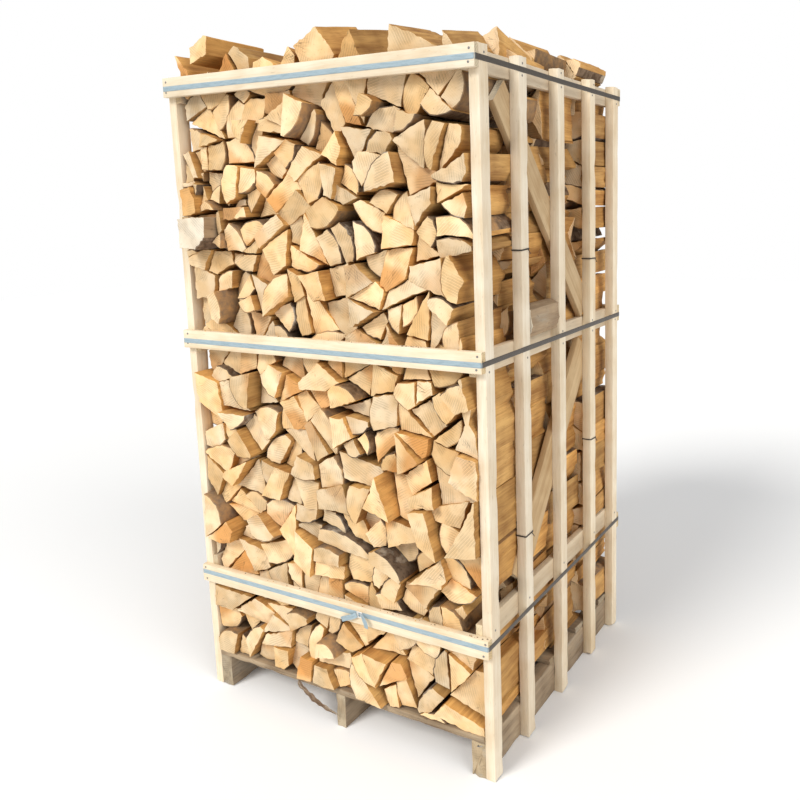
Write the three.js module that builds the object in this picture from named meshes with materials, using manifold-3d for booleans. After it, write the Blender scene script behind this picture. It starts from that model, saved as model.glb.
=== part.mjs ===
// A crate of split birch firewood on its own runners: slatted sides, front and back battens,
// three tensioned straps, four rows of logs and a loose heap on top.
// Millimetres, +Z up, front (cut log ends) towards -Y. The origin is on the floor, under the middle
// of the crate, at the centre of the middle runner's underside.

import * as THREE from 'three';
import { mergeVertices } from 'three/addons/utils/BufferGeometryUtils.js';
import Module from 'manifold-3d';

const wasm = await Module();
wasm.setup();

// Driving dimensions
const GAP = 0.3;
const crate = { width: 1094, depth: 1000, height: 2000 };
const post = { across: 30, along: 47 };
const END_BAY = 219;
const board = { thick: 20 };
const batten = { thick: 20, tall: 57 };
const strap = { thick: 0.9, wide: 14 };
const runner = { wide: 45, middleWide: 34, tall: 108 };
const deck = { thick: 19, wide: 110, count: 5 };
const row = { count: 4, length: 249 };
const LOG_LENGTH = 238;
const SIDES = { left: -1, right: 1 };

// The three belts that hold the crate together, from the floor up. A side rail, a front batten, a
// back batten and a strap share each belt. `rise` is how much higher the left end is.
const belts = [
  { name: 'lower', rail: [402, 470], batten: 411, strap: 416, rise: 0 },
  { name: 'middle', rail: [1166, 1228], batten: 1208, strap: 1203, rise: 0 },
  { name: 'top', rail: [1938, 1994], batten: 1976, strap: 1972, rise: 16 },
];

// Sloping boards between the rails, with the angle of the board above the floor in degrees.
const braces = [
  { name: 'lower', between: [470, 1166], wide: 112, angle: 50.5, along: -12 },
  { name: 'upper', between: [1228, 1938], wide: 86, angle: -47.5, along: -42 },
];

// Derived places
const postInner = crate.width / 2 - post.across;
const railInner = postInner - GAP - board.thick;
const frontFace = -crate.depth / 2;
const stack = { half: railInner - GAP, bottom: runner.tall + GAP + deck.thick + GAP };
const midBay = (crate.depth - post.along - 2 * END_BAY) / 2;
const postFronts = [0, END_BAY, END_BAY + midBay, END_BAY + 2 * midBay, 2 * END_BAY + 2 * midBay];

const finishes = {
  lath: { color: 0xe6d6b8, roughness: 0.8, metalness: 0 },
  pallet: { color: 0xb3a892, roughness: 0.9, metalness: 0 },
  birch: { color: 0xdcb57c, roughness: 0.8, metalness: 0 },
  weathered: { color: 0xc4b9a2, roughness: 0.9, metalness: 0 },
  strap: { color: 0xa9c2cc, roughness: 0.45, metalness: 0 },
  wire: { color: 0xb9bdbf, roughness: 0.35, metalness: 0.9 },
};

const firewoodCrate = new THREE.Group();

function add(name, geometry, finish, position = [0, 0, 0], rotation = [0, 0, 0]) {
  const mesh = new THREE.Mesh(geometry, new THREE.MeshStandardMaterial(finishes[finish]));
  mesh.name = name;
  mesh.position.set(...position);
  mesh.rotation.set(...rotation);
  firewoodCrate.add(mesh);
  return mesh;
}

function flatShape(points) {
  return new THREE.Shape(points.map(([a, b]) => new THREE.Vector2(a, b)));
}

// A straight length of wood with the section `outline` in X and Z, running back from `front`.
function prism(outline, front, length) {
  const solid = new THREE.ExtrudeGeometry(flatShape(outline), { depth: length, bevelEnabled: false });
  return solid.rotateX(Math.PI / 2).translate(0, front + length, 0);
}

function toManifold(geometry) {
  const bare = geometry.clone();
  bare.deleteAttribute('normal');
  bare.deleteAttribute('uv');
  const merged = mergeVertices(bare, 1e-4);
  return new wasm.Manifold(new wasm.Mesh({
    numProp: 3,
    vertProperties: new Float32Array(merged.attributes.position.array),
    triVerts: new Uint32Array(merged.index.array),
  }));
}

// Takes the cutters out of a solid, after joining any additions to it.
function carve(geometry, cutters, additions = []) {
  let solid = toManifold(geometry);
  for (const addition of additions) solid = solid.add(toManifold(addition));
  for (const cutter of cutters) solid = solid.subtract(toManifold(cutter));
  const result = solid.getMesh();
  const carved = new THREE.BufferGeometry();
  carved.setAttribute('position', new THREE.BufferAttribute(result.vertProperties, 3));
  carved.setIndex(new THREE.BufferAttribute(result.triVerts, 1));
  carved.computeVertexNormals();
  return carved;
}

function tiltOf(belt) {
  return Math.atan2(belt.rise, crate.width);
}

function addPosts() {
  const size = [post.across, post.along, crate.height];
  for (const [side, sign] of Object.entries(SIDES)) {
    postFronts.forEach((start, i) => {
      const x = sign * (crate.width / 2 - post.across / 2);
      const y = frontFace + start + post.along / 2;
      add(`post_${side}_${i + 1}`, new THREE.BoxGeometry(...size), 'lath', [x, y, crate.height / 2]);
    });
  }
}

function addRails() {
  for (const [side, sign] of Object.entries(SIDES)) {
    for (const belt of belts) {
      const [low, high] = belt.rail;
      const rail = new THREE.BoxGeometry(board.thick, crate.depth, high - low);
      const x = sign * (railInner + board.thick / 2);
      add(`rail_${side}_${belt.name}`, rail, 'lath', [x, 0, (low + high) / 2]);
    }
  }
}

function addBraces() {
  for (const [side, sign] of Object.entries(SIDES)) {
    for (const brace of braces) {
      const angle = THREE.MathUtils.degToRad(brace.angle);
      const [low, high] = brace.between;
      const rise = high - low - 2 * GAP - brace.wide * Math.cos(angle);
      const length = rise / Math.abs(Math.sin(angle));
      const plank = new THREE.BoxGeometry(board.thick, length, brace.wide);
      const x = sign * (railInner + board.thick / 2);
      add(`brace_${side}_${brace.name}`, plank, 'lath', [x, brace.along, (low + high) / 2], [angle, 0, 0]);
    }
  }
}

function addBattens() {
  const faces = { front: -1, back: 1 };
  for (const [face, sign] of Object.entries(faces)) {
    for (const belt of belts) {
      const lath = new THREE.BoxGeometry(crate.width, batten.thick, batten.tall);
      const y = sign * (crate.depth / 2 + GAP + batten.thick / 2);
      add(`batten_${face}_${belt.name}`, lath, 'lath', [0, y, belt.batten], [0, tiltOf(belt), 0]);
    }
  }
}

function rectangle(halfX, halfY) {
  return [[-halfX, -halfY], [halfX, -halfY], [halfX, halfY], [-halfX, halfY]];
}

// Each strap is one closed band round the battens' faces and the posts' outer sides.
function addStraps() {
  const innerX = crate.width / 2 + GAP;
  const innerY = crate.depth / 2 + GAP + batten.thick + GAP;
  for (const belt of belts) {
    const band = flatShape(rectangle(innerX + strap.thick, innerY + strap.thick));
    band.holes.push(new THREE.Path(rectangle(innerX, innerY).map(([x, y]) => new THREE.Vector2(x, y))));
    const ring = new THREE.ExtrudeGeometry(band, { depth: strap.wide, bevelEnabled: false });
    ring.translate(0, 0, -strap.wide / 2);
    add(`strap_${belt.name}`, ring, 'strap', [0, 0, belt.strap], [0, tiltOf(belt), 0]);
  }
}

// A bent wire buckle: a small frame with a cross bar, standing on the strap's outer face.
function addBuckles() {
  const wire = 3;
  const half = { x: 11, z: 10 };
  const standOff = crate.depth / 2 + batten.thick + strap.thick + 3 * GAP + wire / 2;
  const opening = half.x - 1.5 * wire;
  const places = { lower: [112, -1], middle: [-140, 1], top: [90, 1] };
  for (const belt of belts) {
    const [x, sign] = places[belt.name];
    const windows = [-1, 1].map((step) => {
      const hole = new THREE.BoxGeometry(opening, 2 * wire, 2 * (half.z - wire));
      return hole.translate((step * (opening + wire)) / 2, 0, 0);
    });
    const buckle = carve(new THREE.BoxGeometry(2 * half.x, wire, 2 * half.z), windows);
    const lift = -x * Math.sin(tiltOf(belt));
    const place = [x, sign * standOff, belt.strap + lift];
    add(`strap_buckle_${belt.name}`, buckle, 'wire', place, [0, tiltOf(belt), 0]);
  }
}

function addPallet() {
  const outer = postInner - GAP - runner.wide / 2;
  const places = { left: [-outer, runner.wide], middle: [0, runner.middleWide], right: [outer, runner.wide] };
  for (const [name, [x, wide]] of Object.entries(places)) {
    const beam = new THREE.BoxGeometry(wide, crate.depth, runner.tall);
    add(`runner_${name}`, beam, 'pallet', [x, 0, runner.tall / 2]);
  }
  const spacing = (crate.depth - deck.wide) / (deck.count - 1);
  for (let i = 0; i < deck.count; i += 1) {
    const plank = new THREE.BoxGeometry(2 * (postInner - GAP), deck.wide, deck.thick);
    const y = frontFace + deck.wide / 2 + i * spacing;
    add(`deck_board_${i + 1}`, plank, 'pallet', [0, y, runner.tall + GAP + deck.thick / 2]);
  }
}

// Logs that were pulled out of the first row or pushed out of the last one, with their sections in
// X and Z. `out` is how far the cut end stands off the posts' faces.
const pulledLogs = [
  {
    name: 'pulled_log_weathered',
    finish: 'weathered',
    side: -1,
    out: 70,
    outline: [[-480, 1497], [-404, 1492], [-366, 1524], [-358, 1590], [-478, 1587]],
  },
  {
    name: 'pulled_log_wedge',
    finish: 'birch',
    side: -1,
    out: 40,
    outline: [[-486, 1598], [-432, 1604], [-430, 1650], [-448, 1684], [-488, 1676]],
  },
  {
    name: 'pulled_log_back',
    finish: 'birch',
    side: 1,
    out: 58,
    outline: [[212, 764], [296, 758], [308, 806], [248, 846]],
  },
];

// A loose log on the middle rail that bulges out between two posts of the right side.
const bulgingLog = {
  name: 'bulging_log_right',
  outline: [[498, 1230], [544, 1230], [553, 1262], [548, 1310], [520, 1322], [498, 1316]],
  length: 198,
};

// The outline of a section made larger all round, for the hole that a log slides in.
function grown(outline, margin) {
  const middle = outline.reduce(([a, b], [x, z]) => [a + x / outline.length, b + z / outline.length], [0, 0]);
  return outline.map(([x, z]) => {
    const scale = 1 + margin / Math.hypot(x - middle[0], z - middle[1]);
    return [middle[0] + (x - middle[0]) * scale, middle[1] + (z - middle[1]) * scale];
  });
}

// Each row's top from left to right. The first row lies just under the top battens, with one log
// that props up the heap and one low log; the others rise to a crown and fall to the rail's top.
const heapBase = 1968;
const railTop = belts[2].rail[1] + GAP;
const rowTops = [
  [
    [-stack.half, heapBase], [-452, heapBase], [-446, 2044.2], [-376, 2064.9], [-358, heapBase],
    [-203, heapBase], [-181, 2023], [-149, 2056], [-137, 2040], [-66, 2040], [-57, heapBase],
    [stack.half, heapBase],
  ],
  [[-stack.half, 1994], [-300, 2045], [50, 2062], [270, 2040], [390, railTop], [stack.half, railTop]],
  [
    [-stack.half, 1994], [-250, 2060], [0, 2040], [310, 2050], [354, 2100], [388, 2112], [462, 2026],
    [470, railTop], [stack.half, railTop],
  ],
  [[-stack.half, 1994], [-200, 2035], [100, 2050], [300, 2020], [360, railTop], [stack.half, railTop]],
];

// The right part of the first row climbs to the back, so the logs on it tip up.
const ramp = { from: -50, angle: 10 };
const rampSlope = Math.tan(THREE.MathUtils.degToRad(ramp.angle));

function rampSolid(front) {
  const climb = row.length * rampSlope;
  const bottom = heapBase - 20;
  const wedge = flatShape([[0, bottom], [row.length, bottom], [row.length, heapBase + climb], [0, heapBase]]);
  const solid = new THREE.ExtrudeGeometry(wedge, { depth: stack.half - ramp.from, bevelEnabled: false });
  const basis = new THREE.Matrix4().makeBasis(
    new THREE.Vector3(0, 1, 0),
    new THREE.Vector3(0, 0, 1),
    new THREE.Vector3(1, 0, 0),
  );
  return solid.applyMatrix4(basis).translate(ramp.from, front, 0);
}

// The rows of stacked logs. The first and last swell out past the posts between the battens,
// because the cut ends stand proud of the frame there, and stay behind each batten.
function addRows() {
  const proud = 14;
  const clear = 6;
  rowTops.forEach((top, i) => {
    const outline = [[-stack.half, stack.bottom], [stack.half, stack.bottom], ...[...top].reverse()];
    const face = i === 0 ? -1 : 1;
    const outer = i === 0 || i === row.count - 1;
    const front = frontFace + i * (crate.depth / row.count) + GAP;
    if (!outer) {
      add(`log_row_${i + 1}`, prism(outline, front, row.length), 'birch');
      return;
    }
    const start = front - (face < 0 ? proud : 0);
    const y = face * (crate.depth / 2 + proud / 2);
    const cutters = belts.map((belt) => {
      const channel = new THREE.BoxGeometry(crate.width, proud, batten.tall + belt.rise + 2 * clear);
      return channel.translate(0, y, belt.batten);
    });
    cutters.push(new THREE.BoxGeometry(crate.width, proud, 200).translate(0, y, crate.height + 80));
    for (const log of pulledLogs.filter(({ side }) => side === face)) {
      cutters.push(prism(grown(log.outline, 2), start - 1, row.length + proud + 2));
    }
    const additions = face < 0 ? [rampSolid(front)] : [];
    add(`log_row_${i + 1}`, carve(prism(outline, start, row.length + proud), cutters, additions), 'birch');
  });
}

function addLooseLogs() {
  for (const log of pulledLogs) {
    const reach = crate.depth / 2 + log.out;
    const start = log.side < 0 ? -reach : reach - LOG_LENGTH;
    add(log.name, prism(log.outline, start, LOG_LENGTH), log.finish);
  }
  const bay = midBay - post.along;
  const start = frontFace + END_BAY + post.along + (bay - bulgingLog.length) / 2;
  add(bulgingLog.name, prism(bulgingLog.outline, start, bulgingLog.length), 'weathered');
}

// The heap on top. Heights in an outline are above `rest`, `front` is where the near end lies, and
// `pitch` and `yaw` turn the log about its near end, in degrees.
const onRamp = {
  front: -479,
  rest: heapBase + (-479 - frontFace) * rampSlope + GAP,
  pitch: ramp.angle,
  yaw: 7,
  length: 226,
};
const heapLogs = [
  {
    name: 'heap_log_corner',
    front: -490,
    rest: crate.height + GAP,
    outline: [[-541, 0], [-498, 0], [-490, -31], [-458, -31], [-468, 32], [-512, 81], [-541, 87]],
  },
  {
    name: 'heap_log_high',
    front: -498,
    rest: 2044,
    outline: [[-449, 0], [-374, 22], [-368, 74], [-383, 80], [-448, 50]],
  },
  { name: 'heap_log_orange', front: -499, rest: heapBase + GAP, outline: [[-350, 0], [-238, 0], [-294, 92]] },
  {
    name: 'heap_log_split',
    front: -494,
    rest: heapBase + GAP,
    outline: [[-233, 0], [-207, 0], [-212, 74], [-266, 113], [-290, 94]],
  },
  { ...onRamp, name: 'heap_log_wide', outline: [[-8, 0], [52, 0], [88, 48], [43, 126], [-36, 84]] },
  { ...onRamp, name: 'heap_log_thin', outline: [[80, 0], [188, 0], [156, 106], [129, 80]] },
  { ...onRamp, name: 'heap_log_pale', outline: [[266, 0], [414, 0], [424, 44], [343, 80], [292, 110]] },
  { ...onRamp, name: 'heap_log_narrow', outline: [[438, 0], [484, 0], [440, 70]], yaw: 5 },
  {
    name: 'heap_log_peak',
    front: -249,
    rest: railTop + GAP,
    outline: [[404, 0], [470, 0], [474, 50], [467, 94], [409, 68]],
  },
  {
    name: 'heap_log_back',
    front: 252,
    rest: railTop + GAP,
    outline: [[384, 0], [470, 0], [489, 18], [436, 92], [384, 60]],
  },
  {
    name: 'heap_log_bark',
    front: 254,
    rest: railTop + GAP,
    outline: [[490, 21], [503, 45], [505, 62], [482, 75], [456, 77], [460, 63]],
  },
];

function addHeap() {
  for (const log of heapLogs) {
    const pitch = THREE.MathUtils.degToRad(log.pitch ?? 0);
    const yaw = THREE.MathUtils.degToRad(log.yaw ?? 0);
    const solid = prism(log.outline, 0, log.length ?? LOG_LENGTH);
    if (yaw) {
      const across = log.outline.map(([x]) => x);
      const middle = (Math.min(...across) + Math.max(...across)) / 2;
      solid.translate(-middle, 0, 0).rotateZ(yaw).translate(middle, 0, 0);
    }
    add(log.name, solid, 'birch', [0, log.front, log.rest], [pitch, 0, 0]);
  }
}

addPosts();
addRails();
addBraces();
addBattens();
addStraps();
addBuckles();
addPallet();
addRows();
addLooseLogs();
addHeap();

export default firewoodCrate;
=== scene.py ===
"""Looks of a slatted crate of split birch firewood, strapped and standing on its runners."""

import logging
import math
from collections.abc import Callable, Sequence
from dataclasses import dataclass, field, replace
from enum import Enum
from itertools import combinations

import bpy
import numpy as np
from mathutils import Matrix, Vector


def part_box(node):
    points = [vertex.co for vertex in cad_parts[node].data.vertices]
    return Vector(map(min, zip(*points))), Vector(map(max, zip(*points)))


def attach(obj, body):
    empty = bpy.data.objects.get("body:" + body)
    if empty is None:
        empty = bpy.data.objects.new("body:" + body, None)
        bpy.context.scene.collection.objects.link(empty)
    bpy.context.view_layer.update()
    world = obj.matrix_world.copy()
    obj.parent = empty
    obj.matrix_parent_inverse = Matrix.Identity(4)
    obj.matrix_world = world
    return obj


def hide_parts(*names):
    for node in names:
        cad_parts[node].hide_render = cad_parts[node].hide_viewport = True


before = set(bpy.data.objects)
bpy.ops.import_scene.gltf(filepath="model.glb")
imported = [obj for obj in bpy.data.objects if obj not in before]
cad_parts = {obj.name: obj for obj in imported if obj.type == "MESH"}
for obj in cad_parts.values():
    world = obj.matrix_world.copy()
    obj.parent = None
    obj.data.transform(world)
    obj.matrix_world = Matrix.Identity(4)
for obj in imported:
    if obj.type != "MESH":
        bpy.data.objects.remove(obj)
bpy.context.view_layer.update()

log = logging.getLogger("firewood")

Colour = tuple[float, float, float]
Array = np.ndarray
Rng = np.random.Generator
Socket = bpy.types.NodeSocket

BELTS = ("lower", "middle", "top")
SIDES = ("left", "right")
ROWS = (1, 2, 3, 4)

GRIME: Colour = (0.42, 0.38, 0.33)
KNOT_RING: Colour = (0.42, 0.24, 0.11)
KNOT_EYE: Colour = (0.16, 0.09, 0.05)


# ---- Shader nodes ----


@dataclass
class Canvas:
    """Lays shader nodes into one tree, with short calls for the sums that come up often."""

    tree: bpy.types.NodeTree

    def add(self, kind: str, inputs: dict | None = None, **settings: object) -> bpy.types.Node:
        """Adds one node.

        Args:
            kind: Node type without its "ShaderNode" prefix.
            inputs: Input name or index, with the socket or value that goes in.
            settings: Properties of the node itself.

        Returns:
            The new node.
        """
        node = self.tree.nodes.new("ShaderNode" + kind)
        for name, value in settings.items():
            setattr(node, name, value)
        self.fill(node, inputs or {})
        return node

    def fill(self, node: bpy.types.Node, inputs: dict) -> None:
        """Feeds some of a node's inputs.

        Args:
            node: The node.
            inputs: Input name or index, with the socket or value that goes in.
        """
        for key, value in inputs.items():
            self.feed(node.inputs[key], value)

    def feed(self, socket: Socket, value: object) -> None:
        """Links a socket into an input, or sets the input's own value.

        Args:
            socket: The input.
            value: An output socket, a number, or a colour or vector of three numbers.
        """
        if isinstance(value, Socket):
            self.tree.links.new(value, socket)
        elif socket.type == "RGBA":
            socket.default_value = (*value[:3], 1.0)
        else:
            socket.default_value = value

    def sum(self, operation: str, *values: object, clamp: bool = False) -> Socket:
        """Adds a Math node and returns its result.

        Args:
            operation: The Math node's operation.
            values: Its inputs in order.
            clamp: Whether the result is kept between 0 and 1.

        Returns:
            The result's socket.
        """
        node = self.add("Math", dict(enumerate(values)), operation=operation, use_clamp=clamp)
        return node.outputs[0]

    def times(self, value: object, factor: object) -> Socket:
        """Returns a product."""
        return self.sum("MULTIPLY", value, factor)

    def line(self, value: object, slope: object, start: object) -> Socket:
        """Returns value * slope + start."""
        return self.sum("MULTIPLY_ADD", value, slope, start)

    def chance(self, tone: object, factor: float) -> Socket:
        """Returns another number between 0 and 1, made from a log's or board's own number."""
        return self.sum("FRACT", self.times(tone, factor))

    def wave(self, turn: object) -> Socket:
        """Returns a sine wave that runs between 0 and 1."""
        return self.line(self.sum("SINE", turn), 0.5, 0.5)

    def without(self, mask: object) -> Socket:
        """Returns 1 less a mask."""
        return self.sum("SUBTRACT", 1.0, mask)

    def fade(self, value: object, low: object, high: object) -> Socket:
        """Returns 0 below `low`, 1 above `high` and a smooth rise between.

        Args:
            value: The number that is tested.
            low: Where the rise starts.
            high: Where it ends.

        Returns:
            The result's socket.
        """
        node = self.add(
            "MapRange",
            {"Value": value, "From Min": low, "From Max": high},
            interpolation_type="SMOOTHSTEP",
        )
        return node.outputs[0]

    def mix(self, share: object, first: object, second: object, blend: str = "MIX") -> Socket:
        """Mixes two colours.

        Args:
            share: How much of the second colour, from 0 to 1.
            first: A colour or colour socket.
            second: A colour or colour socket.
            blend: The Mix node's blend type.

        Returns:
            The colour's socket.
        """
        node = self.add("Mix", data_type="RGBA", blend_type=blend)
        self.fill(node, {0: share, 6: first, 7: second})
        return node.outputs[2]

    def stretch(self, vector: object, scale: Sequence[float]) -> Socket:
        """Returns a vector multiplied axis by axis.

        Args:
            vector: The vector's socket.
            scale: One factor for each axis.

        Returns:
            The scaled vector's socket.
        """
        node = self.add("VectorMath", {0: vector, 1: tuple(scale)}, operation="MULTIPLY")
        return node.outputs[0]

    def noise(self, vector: object, scale: float, seed: object = 0.0, detail: float = 3.0,
              roughness: float = 0.5) -> Socket:
        """Returns 4-D noise, so that each log or board can have its own.

        Args:
            vector: Where the noise is read.
            scale: Its scale.
            seed: The fourth coordinate.
            detail: Octaves.
            roughness: How strong the finer octaves are.

        Returns:
            The noise value's socket.
        """
        node = self.add(
            "TexNoise",
            {"Vector": vector, "W": seed, "Scale": scale, "Detail": detail, "Roughness": roughness},
            noise_dimensions="4D",
        )
        return node.outputs[0]

    def named(self, name: str, output: str = "Vector") -> Socket:
        """Returns a mesh attribute's socket.

        Args:
            name: The attribute.
            output: Which of the node's outputs to use.

        Returns:
            The socket.
        """
        return self.add("Attribute", attribute_name=name).outputs[output]


@dataclass(frozen=True)
class Effect:
    """A shader node group: its name, its sockets, and the function that lays its nodes."""

    name: str
    inputs: dict[str, object]
    outputs: dict[str, str]
    lay: Callable[[Canvas, dict], dict]

    def group(self) -> bpy.types.NodeTree:
        """Builds the group once, and returns the same one after that."""
        if self.name in bpy.data.node_groups:
            return bpy.data.node_groups[self.name]
        tree = bpy.data.node_groups.new(self.name, "ShaderNodeTree")
        kinds = {tuple: "NodeSocketColor", float: "NodeSocketFloat", str: "NodeSocketVector"}
        for name, default in self.inputs.items():
            socket = tree.interface.new_socket(name, in_out="INPUT", socket_type=kinds[type(default)])
            if isinstance(default, tuple):
                socket.default_value = (*default, 1.0)
            elif isinstance(default, float):
                socket.default_value = default
        for name, kind in self.outputs.items():
            tree.interface.new_socket(name, in_out="OUTPUT", socket_type="NodeSocket" + kind)
        canvas = Canvas(tree)
        source = tree.nodes.new("NodeGroupInput")
        target = tree.nodes.new("NodeGroupOutput")
        made = self.lay(canvas, {name: source.outputs[name] for name in self.inputs})
        for name, socket in made.items():
            tree.links.new(socket, target.inputs[name])
        return tree

    def place(self, canvas: Canvas, **values: object) -> dict:
        """Places the group in a material.

        Args:
            canvas: The material's canvas.
            values: Input values by name, with spaces written as underscores.

        Returns:
            The group's output sockets by name.
        """
        node = canvas.tree.nodes.new("ShaderNodeGroup")
        node.node_tree = self.group()
        canvas.fill(node, {key.replace("_", " "): value for key, value in values.items()})
        return {name: node.outputs[name] for name in self.outputs}


def lay_long_grain(canvas: Canvas, inputs: dict) -> dict:
    """Fibres that run along a board or log: broad bands, fine streaks and torn fibre ends.

    Args:
        canvas: The group's canvas.
        inputs: The group's input sockets.

    Returns:
        Colour and height sockets.
    """
    at, tone = inputs["At"], inputs["Tone"]
    seed = canvas.times(tone, 37.0)
    sway = canvas.noise(at, 5.0, seed, 1.0)
    swayed = canvas.add("VectorMath", {0: sway, 1: (0.035, 0.0, 0.035), 2: at}, operation="MULTIPLY_ADD")
    across = canvas.stretch(swayed.outputs[0], (1.0, 0.045, 1.0))
    bands = canvas.noise(across, 34.0, seed, 2.0)
    streaks = canvas.noise(across, 150.0, seed, 4.0, 0.65)
    fibres = canvas.noise(canvas.stretch(at, (1.0, 0.02, 1.0)), 620.0, seed, 2.0, 0.6)
    blotch = canvas.noise(at, 11.0, seed, 2.0)
    mixed = canvas.line(bands, 0.42, canvas.times(streaks, 0.4))
    mixed = canvas.line(fibres, 0.18, mixed)
    mixed = canvas.line(canvas.sum("SUBTRACT", blotch, 0.5), 0.45, mixed)
    spread = canvas.times(canvas.sum("SUBTRACT", mixed, 0.5), inputs["Contrast"])
    share = canvas.sum("ADD", spread, 0.5, clamp=True)
    colour = canvas.mix(share, inputs["Dark"], inputs["Light"])
    height = canvas.line(streaks, 0.6, canvas.times(fibres, 0.4))
    return {"Colour": colour, "Height": height}


LONG_GRAIN = Effect(
    "long_grain",
    {"At": "", "Tone": 0.0, "Light": (0.8, 0.6, 0.4), "Dark": (0.5, 0.3, 0.15), "Contrast": 2.0},
    {"Colour": "Color", "Height": "Float"},
    lay_long_grain,
)


def lay_sawn_end(canvas: Canvas, inputs: dict) -> dict:
    """A cross-cut end: growth rings round the pith, saw lines, drying cracks and a darker heart.

    Args:
        canvas: The group's canvas.
        inputs: The group's input sockets.

    Returns:
        Colour and height sockets.
    """
    at, tone = inputs["At"], inputs["Tone"]
    seed = canvas.times(tone, 53.0)
    flat = canvas.stretch(at, (1.0, 0.0, 1.0))
    parts = canvas.add("SeparateXYZ", {0: flat})
    x, z = parts.outputs[0], parts.outputs[2]
    sway = canvas.noise(flat, 14.0, seed, 2.0)
    reach = canvas.add("VectorMath", {0: flat}, operation="LENGTH").outputs["Value"]
    swayed = canvas.line(sway, 0.01, reach)
    turn = canvas.sum("DIVIDE", swayed, inputs["Ring pitch"])
    ring = canvas.sum("POWER", canvas.wave(canvas.times(turn, math.tau)), 3.0)

    lean = canvas.times(tone, 19.0)
    run = canvas.times(x, canvas.sum("COSINE", lean))
    run = canvas.line(z, canvas.sum("SINE", lean), run)
    wobble = canvas.noise(flat, 40.0, seed, 1.0)
    fine = canvas.line(run, 1750.0, canvas.times(wobble, 5.0))
    broad = canvas.wave(canvas.line(run, 900.0, canvas.times(wobble, 4.0)))
    patchy = canvas.fade(canvas.noise(flat, 22.0, canvas.sum("ADD", seed, 9.0), 1.0), 0.42, 0.62)
    fine = canvas.times(canvas.wave(fine), patchy)

    angle = canvas.sum("ARCTAN2", z, x)
    spoke = canvas.add("CombineXYZ", {0: canvas.times(angle, 2.4), 1: canvas.times(reach, 3.0)})
    ray = canvas.noise(spoke.outputs[0], 1.6, seed, 2.0, 0.6)
    slit = canvas.sum("ABSOLUTE", canvas.sum("SUBTRACT", ray, 0.5))
    opened = canvas.without(canvas.fade(slit, 0.002, 0.012))
    near = canvas.without(canvas.fade(reach, 0.04, 0.085))
    far = canvas.fade(canvas.noise(flat, 18.0, canvas.sum("ADD", seed, 3.0), 1.0), 0.5, 0.58)
    crack = canvas.times(canvas.times(opened, near), far)

    chance = canvas.chance(tone, 7.31)
    size = canvas.line(chance, 0.05, 0.012)
    edge = canvas.line(canvas.sum("SUBTRACT", sway, 0.5), 0.05, reach)
    heart = canvas.without(canvas.fade(edge, size, canvas.sum("ADD", size, 0.035)))
    heart = canvas.times(heart, canvas.fade(chance, 0.45, 1.1))

    blotch = canvas.noise(flat, 13.0, canvas.sum("ADD", seed, 21.0), 3.0)
    colour = canvas.mix(canvas.fade(blotch, 0.3, 0.7), inputs["Sapwood"], inputs["Tan"])
    colour = canvas.mix(heart, colour, inputs["Heart"])
    shade = canvas.line(ring, -0.18, 1.07)
    shade = canvas.line(fine, -0.15, shade)
    shade = canvas.line(canvas.times(broad, patchy), -0.18, shade)
    shade = canvas.line(crack, -0.5, shade)
    grey = canvas.add("CombineXYZ", {0: shade, 1: shade, 2: canvas.line(ring, -0.04, shade)})
    colour = canvas.mix(1.0, colour, grey.outputs[0], "MULTIPLY")
    height = canvas.line(fine, 0.5, canvas.times(broad, 0.5))
    height = canvas.line(ring, 0.25, height)
    height = canvas.line(crack, -2.0, height)
    return {"Colour": colour, "Height": height}


SAWN_END = Effect(
    "sawn_end",
    {
        "At": "", "Tone": 0.0, "Sapwood": (0.84, 0.66, 0.4), "Tan": (0.75, 0.52, 0.27),
        "Heart": (0.6, 0.3, 0.1), "Ring pitch": 0.004,
    },
    {"Colour": "Color", "Height": "Float"},
    lay_sawn_end,
)


def lay_own_shade(canvas: Canvas, inputs: dict) -> dict:
    """Gives each log or board its own lightness and warmth.

    Args:
        canvas: The group's canvas.
        inputs: The group's input sockets.

    Returns:
        The shifted colour's socket.
    """
    tone = inputs["Tone"]
    lighter = canvas.sum("SUBTRACT", canvas.chance(tone, 13.7), 0.5)
    warmer = canvas.sum("SUBTRACT", canvas.chance(tone, 29.3), 0.5)
    light = canvas.line(lighter, inputs["Lightness"], 1.0)
    warm = canvas.times(warmer, inputs["Warmth"])
    red, blue = canvas.line(warm, 0.5, light), canvas.sum("SUBTRACT", light, warm)
    tint = canvas.add("CombineXYZ", {0: red, 1: light, 2: blue})
    return {"Colour": canvas.mix(1.0, inputs["Colour"], tint.outputs[0], "MULTIPLY")}


OWN_SHADE = Effect(
    "own_shade",
    {"Colour": (0.8, 0.8, 0.8), "Tone": 0.0, "Lightness": 0.2, "Warmth": 0.2},
    {"Colour": "Color"},
    lay_own_shade,
)


def lay_weather(canvas: Canvas, inputs: dict) -> dict:
    """Grey weathering and dark grime in soft, grain-wise patches.

    Args:
        canvas: The group's canvas.
        inputs: The group's input sockets.

    Returns:
        The weathered colour and the mask of where it sits.
    """
    at = inputs["At"]
    seed = canvas.times(inputs["Tone"], 71.0)
    drawn = canvas.stretch(at, (1.0, 0.22, 1.0))
    patch = canvas.noise(drawn, 26.0, seed, 5.0, 0.62)
    start = canvas.sum("SUBTRACT", 0.82, canvas.times(inputs["Amount"], 0.6))
    mask = canvas.fade(patch, start, canvas.sum("ADD", start, 0.28))
    specks = canvas.noise(drawn, 190.0, canvas.sum("ADD", seed, 5.0), 2.0, 0.6)
    dirt = canvas.times(canvas.fade(specks, 0.62, 0.74), inputs["Dirt"])
    colour = canvas.mix(mask, inputs["Colour"], inputs["Grey"])
    return {"Colour": canvas.mix(dirt, colour, GRIME, "MULTIPLY"), "Mask": mask}


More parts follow.
